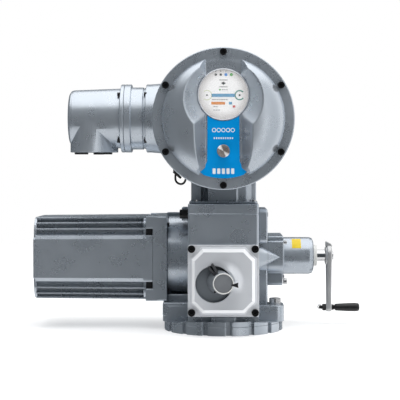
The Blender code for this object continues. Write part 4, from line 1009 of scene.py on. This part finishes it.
def make_label():
    half = []
    for step in range(9):
        x = 0.0255 * step / 8
        half.append((x, DISPLAY_Z - math.sqrt(0.0424**2 - x * x), 0))
    half += [(0.026, 0.2835, 0.004), (0.03, 0.2745, 0.004), (0.0385, 0.2672, 0.001)]
    for step in range(8):
        x = 0.036 * (7 - step) / 8 + 0.0001
        half.append((x, DOME_Z - math.sqrt(0.0955**2 - x * x), 0))
    points = half + [(-p[0], *p[1:]) for p in reversed(half[1:])]
    outline = rounded(points, 0.001, 5)
    front = BAY_FRONT - 0.0006
    sheet = prism("blue_panel", outline, Y_AXIS, RIM_FRONT - 0.0002, front, 0.0003)
    show(sheet, "label", replaced=("front_label",))
    sheet.visible_glossy = False
    MARK_FACE.update(y=front, slot="label")

    def row(name, count, x, pitch, shape):
        for index in range(count):
            graphic(f"{name}_{index + 1}", shape(x + pitch * index), INK["white"], 0.0001)

    row("hoop_mark", 5, -0.0148, 0.0074, lambda x: arc_outline((x, 0.333), 0.0034, 0.0011, 0, 359.9))
    row("small_mark", 9, -0.0144, 0.0036, lambda x: rectangle(0.001, 0.0014, 0.0003, (x, 0.3202), 4))
    row("block_mark", 5, -0.0148, 0.0074, lambda x: rectangle(0.0024, 0.0044, 0.0012, (x, 0.2676), 4))
    centre = (0, 0, KNOB_Z)
    r, face, base = KNOB_HIGH.x, KNOB_LOW.y, BAY_FRONT - 0.003
    profile = [(0.0033, base), (r - 0.0008, base), (r - 0.0008, face + 0.006), (r, face + 0.0052)]
    profile += [(r, face + 0.0014), (r - 0.0012, face)]
    profile += [(0.0048, face + 0.0012), (0.0048, face + 0.004), (0.0033, face + 0.0042)]
    knob = lathe("selector_knob", profile, Y_AXIS, centre, 96, 0.0004)
    show(knob, "bright_steel", "controller", ("drive_controller",), KNOB_METAL)
    profile = [(0, face + 0.0022), (0.0046, face + 0.0013), (0.0046, face + 0.0035), (0.003, face + 0.0035)]
    profile += [(0.003, -0.1215), (0, -0.1215)]
    stem = lathe("selector_stem", profile, Y_AXIS, centre, 64, 0.0002)
    show(stem, "bright_steel", "controller_slider", ("controller_stem",), KNOB_METAL)


def make_drum():
    centre = (0, 0, DOME_Z)
    back, flange = DRUM_HIGH.y, RIM_BACK + GAP
    profile = [(0, flange), (RIM_R, flange), (RIM_R, -0.0985), (RIM_R - 0.0012, -0.0975), (DRUM_R, -0.096)]
    profile += [(DRUM_R, back - 0.016), (DRUM_R - 0.004, back - 0.006), (DRUM_R - 0.013, back), (0, back)]
    drum = lathe("electronics_drum", profile, Y_AXIS, centre, 160, 0.0016)
    profile = [(0.043, DRUM_LOW.x), (0.0575, DRUM_LOW.x), (0.0575, -0.122)]
    profile += [(0.059, -0.103), (0.059, -0.05), (0.043, -0.05)]
    neck = lathe("port_neck", profile, X_AXIS, PORT, 128, 0.0012)
    painted(combined(drum, [neck]), "electronics_housing")


def make_pedestal():
    low = PEDESTAL_FLOOR
    points = [(-0.0535, -0.05, 0.001), (-0.0368, -0.052, 0.0006), (-0.0358, -0.03, 0.001)]
    points += [(-0.0266, -0.03, 0.001), (-0.0252, -0.074, 0.001), (0.0214, -0.076, 0.0006)]
    points += [(0.024, -0.073, 0.0006), (0.037, -0.0722, 0.0006), (0.0385, -0.0692, 0.0004)]
    points += [(0.0455, -0.0673, 0.0004), (0.0462, -0.06, 0.0005), (0.054, -0.059, 0.002)]
    points += [(0.054, 0.036, 0.006), (0.04, 0.0495, 0.006), (-0.04, 0.0495, 0.006), (-0.0535, 0.036, 0.006)]
    pedestal = prism("pedestal_column", rounded(points, 0.001, 4), Z_AXIS, low, DOME_Z - 0.075, 0.0005)
    plate = rectangle(0.056, 0.066, 0.006, (0, -0.015))
    foot = prism("pedestal_foot", plate, Z_AXIS, low, low + 0.0032, 0.001)
    clear = disc("drum_space", DRUM_R + GAP, -0.2, 0.2, Y_AXIS, (0, 0, DOME_Z), 160, 0)
    painted(cut(combined(pedestal, [foot]), clear), "pedestal")
    places = ((-0.0455, -0.073), (0.05, -0.073), (-0.0455, 0.0425), (0.05, 0.0425))
    for index, place in enumerate(places):
        cap_screw(f"pedestal_screw_{index + 1}", (*place, low + 0.0032), Z_AXIS, 0.0034, 0.003, "steel")


# ---------------------------------------------------------------- electrical connection

CAP_LOW, CAP_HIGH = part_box("connection_cap")
ENTRY_X = -0.2275


def entry_outline():
    """Half an ellipse on each side of the entry's foremost line."""
    points = []
    for step in range(96):
        x, y = across(math.tau * (step + 0.5) / 96, 1)
        points.append((ENTRY_X + (0.0495 if x > 0 else 0.0305) * x, PORT_Y + 0.0482 * y))
    return points


def make_connection():
    frame_profile = [(0.044, FRAME_HIGH.x), (0.0518, FRAME_HIGH.x), (0.0518, -0.1318), (0.0506, -0.1324)]
    frame_profile += [(0.0506, -0.1338), (0.0524, -0.1344), (0.0524, -0.1535), (0.0574, -0.1545)]
    frame_profile += [(0.0574, FRAME_LOW.x), (0.044, FRAME_LOW.x)]
    body = lathe("port_frame", frame_profile, X_AXIS, PORT, 128, 0.0008)
    painted(body, "connection_frame")
    start, end = CAP_HIGH.x, CAP_LOW.x
    shell = [(0, start), (0.0574, start), (0.0574, -0.1716), (0.0505, -0.1722), (0.0475, -0.251)]
    shell += [(0.0462, -0.2552), (0.042, -0.2582), (0.03, end), (0, end)]
    cap = lathe("port_cap", shell, X_AXIS, PORT, 160, 0.0016)
    low = CAP_LOW.z
    entry = prism("entry", entry_outline(), Z_AXIS, low, PORT_Z + 0.0043, 0.0008)
    painted(combined(cap, [entry]), "connection_cap")
    for index in range(4):
        for name, x, side, reach in (("cap_screw", -0.1716, -1, 0.0545), ("frame_screw", -0.1318, 1, 0.055)):
            y, z = across(math.radians(45 + 90 * index), reach)
            cap_screw(f"{name}_{index + 1}", (x, PORT_Y + y, PORT_Z + z), (side, 0, 0), 0.0033, 0.0045)
    for index in range(3):
        node = f"cable_plug_{index + 1}"
        plug_low, plug_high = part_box(node)
        centre = ((plug_low.x + plug_high.x) / 2, (plug_low.y + plug_high.y) / 2, 0)
        r = (plug_high.x - plug_low.x) / 2
        shape = polygon(6, r, centre, math.pi / 6)
        plug = prism(f"blanking_plug_{index + 1}", shape, Z_AXIS, plug_low.z, low - GAP, 0.0007)
        neck = disc("plug_neck", r * 0.78, plug_low.z + 0.001, low + 0.006, Z_AXIS, centre, 40, 0.0003)
        show(combined(plug, [neck]), "black_plastic", replaced=(node,))


def make_service_cap():
    angle = math.radians(228)
    out = Vector((math.cos(angle), 0, math.sin(angle)))
    centre = (0, -0.05, DOME_Z)
    profile = [(0, 0.1075), (0.0092, 0.1075), (0.0092, 0.1102), (0.0078, 0.1108)]
    profile += [(0.0074, 0.1165), (0.006, 0.118), (0, 0.118)]
    cap = lathe("service_cap", profile, out, centre, 48, 0.0006)
    show(cap, "rubber", replaced=("service_port_cap",))
    base = Vector(centre) + out * 0.1172
    side = Vector((-out.z, 0, out.x))
    ends = ((0.012, 0.001), (0.004, 0.0016), (-0.005, 0.0012))
    tube("service_cap_bar", [base + side * a + out * b for a, b in ends], 0.002, "rubber")
    line = [(-0.08, 0.2575), (-0.079, 0.25), (-0.074, 0.2462), (-0.069, 0.2455)]
    line += [(-0.0648, 0.248), (-0.0625, 0.253), (-0.0615, 0.26)]
    strap = [base + out * 0.001] + [(x, centre[1], z) for x, z in line]
    tube("service_cap_strap", strap, 0.0017, "rubber")


# ---------------------------------------------------------------- carried-over nodes


def dress_nodes():
    """Every CAD node gets the finish of its slot. Those that a piece stands for are hidden anyway."""
    for part in frame["record"]["subparts"]:
        node = bpy.data.objects[part["node"]]
        node.data.materials.clear()
        node.data.materials.append(LOOKS[part["material_slot"]])


# ---------------------------------------------------------------- studio


def make_world():
    """Soft panels to the right, above and below, a dark left side, and a white background for the camera."""
    world = bpy.data.worlds.new("studio")
    SCENE.world = world
    world.use_nodes = True
    tree = Tree(world.node_tree)
    background = world.node_tree.nodes["Background"]
    x, y, z = tree.split("Generated")
    azimuth = tree.math("ARCTAN2", x, tree.math("MULTIPLY", y, -1.0))

    def over(share, value, below):
        rest = tree.math("MULTIPLY", tree.math("SUBTRACT", 1.0, share), below)
        return tree.math("ADD", tree.math("MULTIPLY", share, value), rest)

    level = tree.ease(z, -0.1, 0.6, 0.065, 0.13)
    level = over(tree.ease(tree.math("ABSOLUTE", azimuth), 1.75, 2.2), 0.13, level)
    right = ((1.4, 2.6, 0.08, 0.92), (0.38, 1.44, 0.06, 0.64), (0.38, 0.68, 0.04, 0.95))
    for start, end, soft, bright in (*right, (-2.1, -0.85, 0.1, 0.11)):
        rise = tree.ease(azimuth, start - soft, start + soft)
        share = tree.math("MULTIPLY", rise, tree.ease(azimuth, end - soft, end + soft, 1.0, 0.0))
        level = over(share, bright, level)
    level = over(tree.ease(z, 0.62, 0.76), 1.5, level)
    level = over(tree.ease(z, -0.5, -0.66), 0.85, level)
    level = over(tree.add("ShaderNodeLightPath").outputs["Is Camera Ray"], 1.0, level)
    tint = tree.blend(tree.ease(level, 0.1, 0.9), opaque((0.8, 0.91, 1.0)), opaque((1.0, 1.0, 1.0)))
    tree.feed(background.inputs["Color"], tint)
    tree.feed(background.inputs["Strength"], level)


def make_floor():
    """A pale disc that fades into the background."""
    bm = bmesh.new()
    bmesh.ops.create_circle(bm, cap_ends=True, segments=96, radius=2.6)
    mesh = bpy.data.meshes.new("floor")
    bm.to_mesh(mesh)
    bm.free()
    floor = linked("floor", mesh)
    made, tree, shader = new_material("floor_finish", 0.8)
    x, y, _ = tree.split()
    fade = tree.ease(tree.length(x, y), 1.1, 2.5, 1.0, 0.0)
    slow = tree.ease(tree.noise(3.0, 2.0), 0.3, 0.7)
    pale = tree.blend(slow, opaque((0.56, 0.565, 0.57)), opaque((0.58, 0.585, 0.59)))
    glow = {"Emission_Color": opaque((1.0, 1.0, 1.0)), "Emission_Strength": 0.5}
    tree.dress(shader, Base_Color=pale, Alpha=fade, **glow)
    mesh.materials.append(made)
    floor.visible_glossy = False


def make_lights():
    lamp = bpy.data.lights.new("overhead", "AREA")
    lamp.shape = "RECTANGLE"
    lamp.size, lamp.size_y = 1.6, 1.2
    lamp.energy = 26
    obj = linked("overhead", lamp)
    obj.location = (0.1, -0.5, 1.9)
    obj.rotation_mode = "QUATERNION"
    obj.rotation_quaternion = (Vector((0, 0, 0.2)) - obj.location).to_track_quat("-Z", "Y")
    obj.visible_glossy = False


def make_camera():
    data = bpy.data.cameras.new("camera")
    data.lens = 108.45
    data.shift_x, data.shift_y = -0.0585, -0.0875
    camera = linked("camera", data)
    camera.location = (0, -2.0485, 0.2774)
    camera.rotation_euler = (math.pi / 2, 0, 0)
    SCENE.camera = camera


make_foot()
make_gear_housing()
make_housing_fittings()
make_motor()
make_crank_housing()
make_crank()
make_panel()
make_electronics_cover()
make_display()
make_label()
make_drum()
make_pedestal()
make_connection()
make_service_cap()
dress_nodes()
make_world()
make_floor()
make_lights()
make_camera()
SCENE.view_settings.view_transform = "Standard"
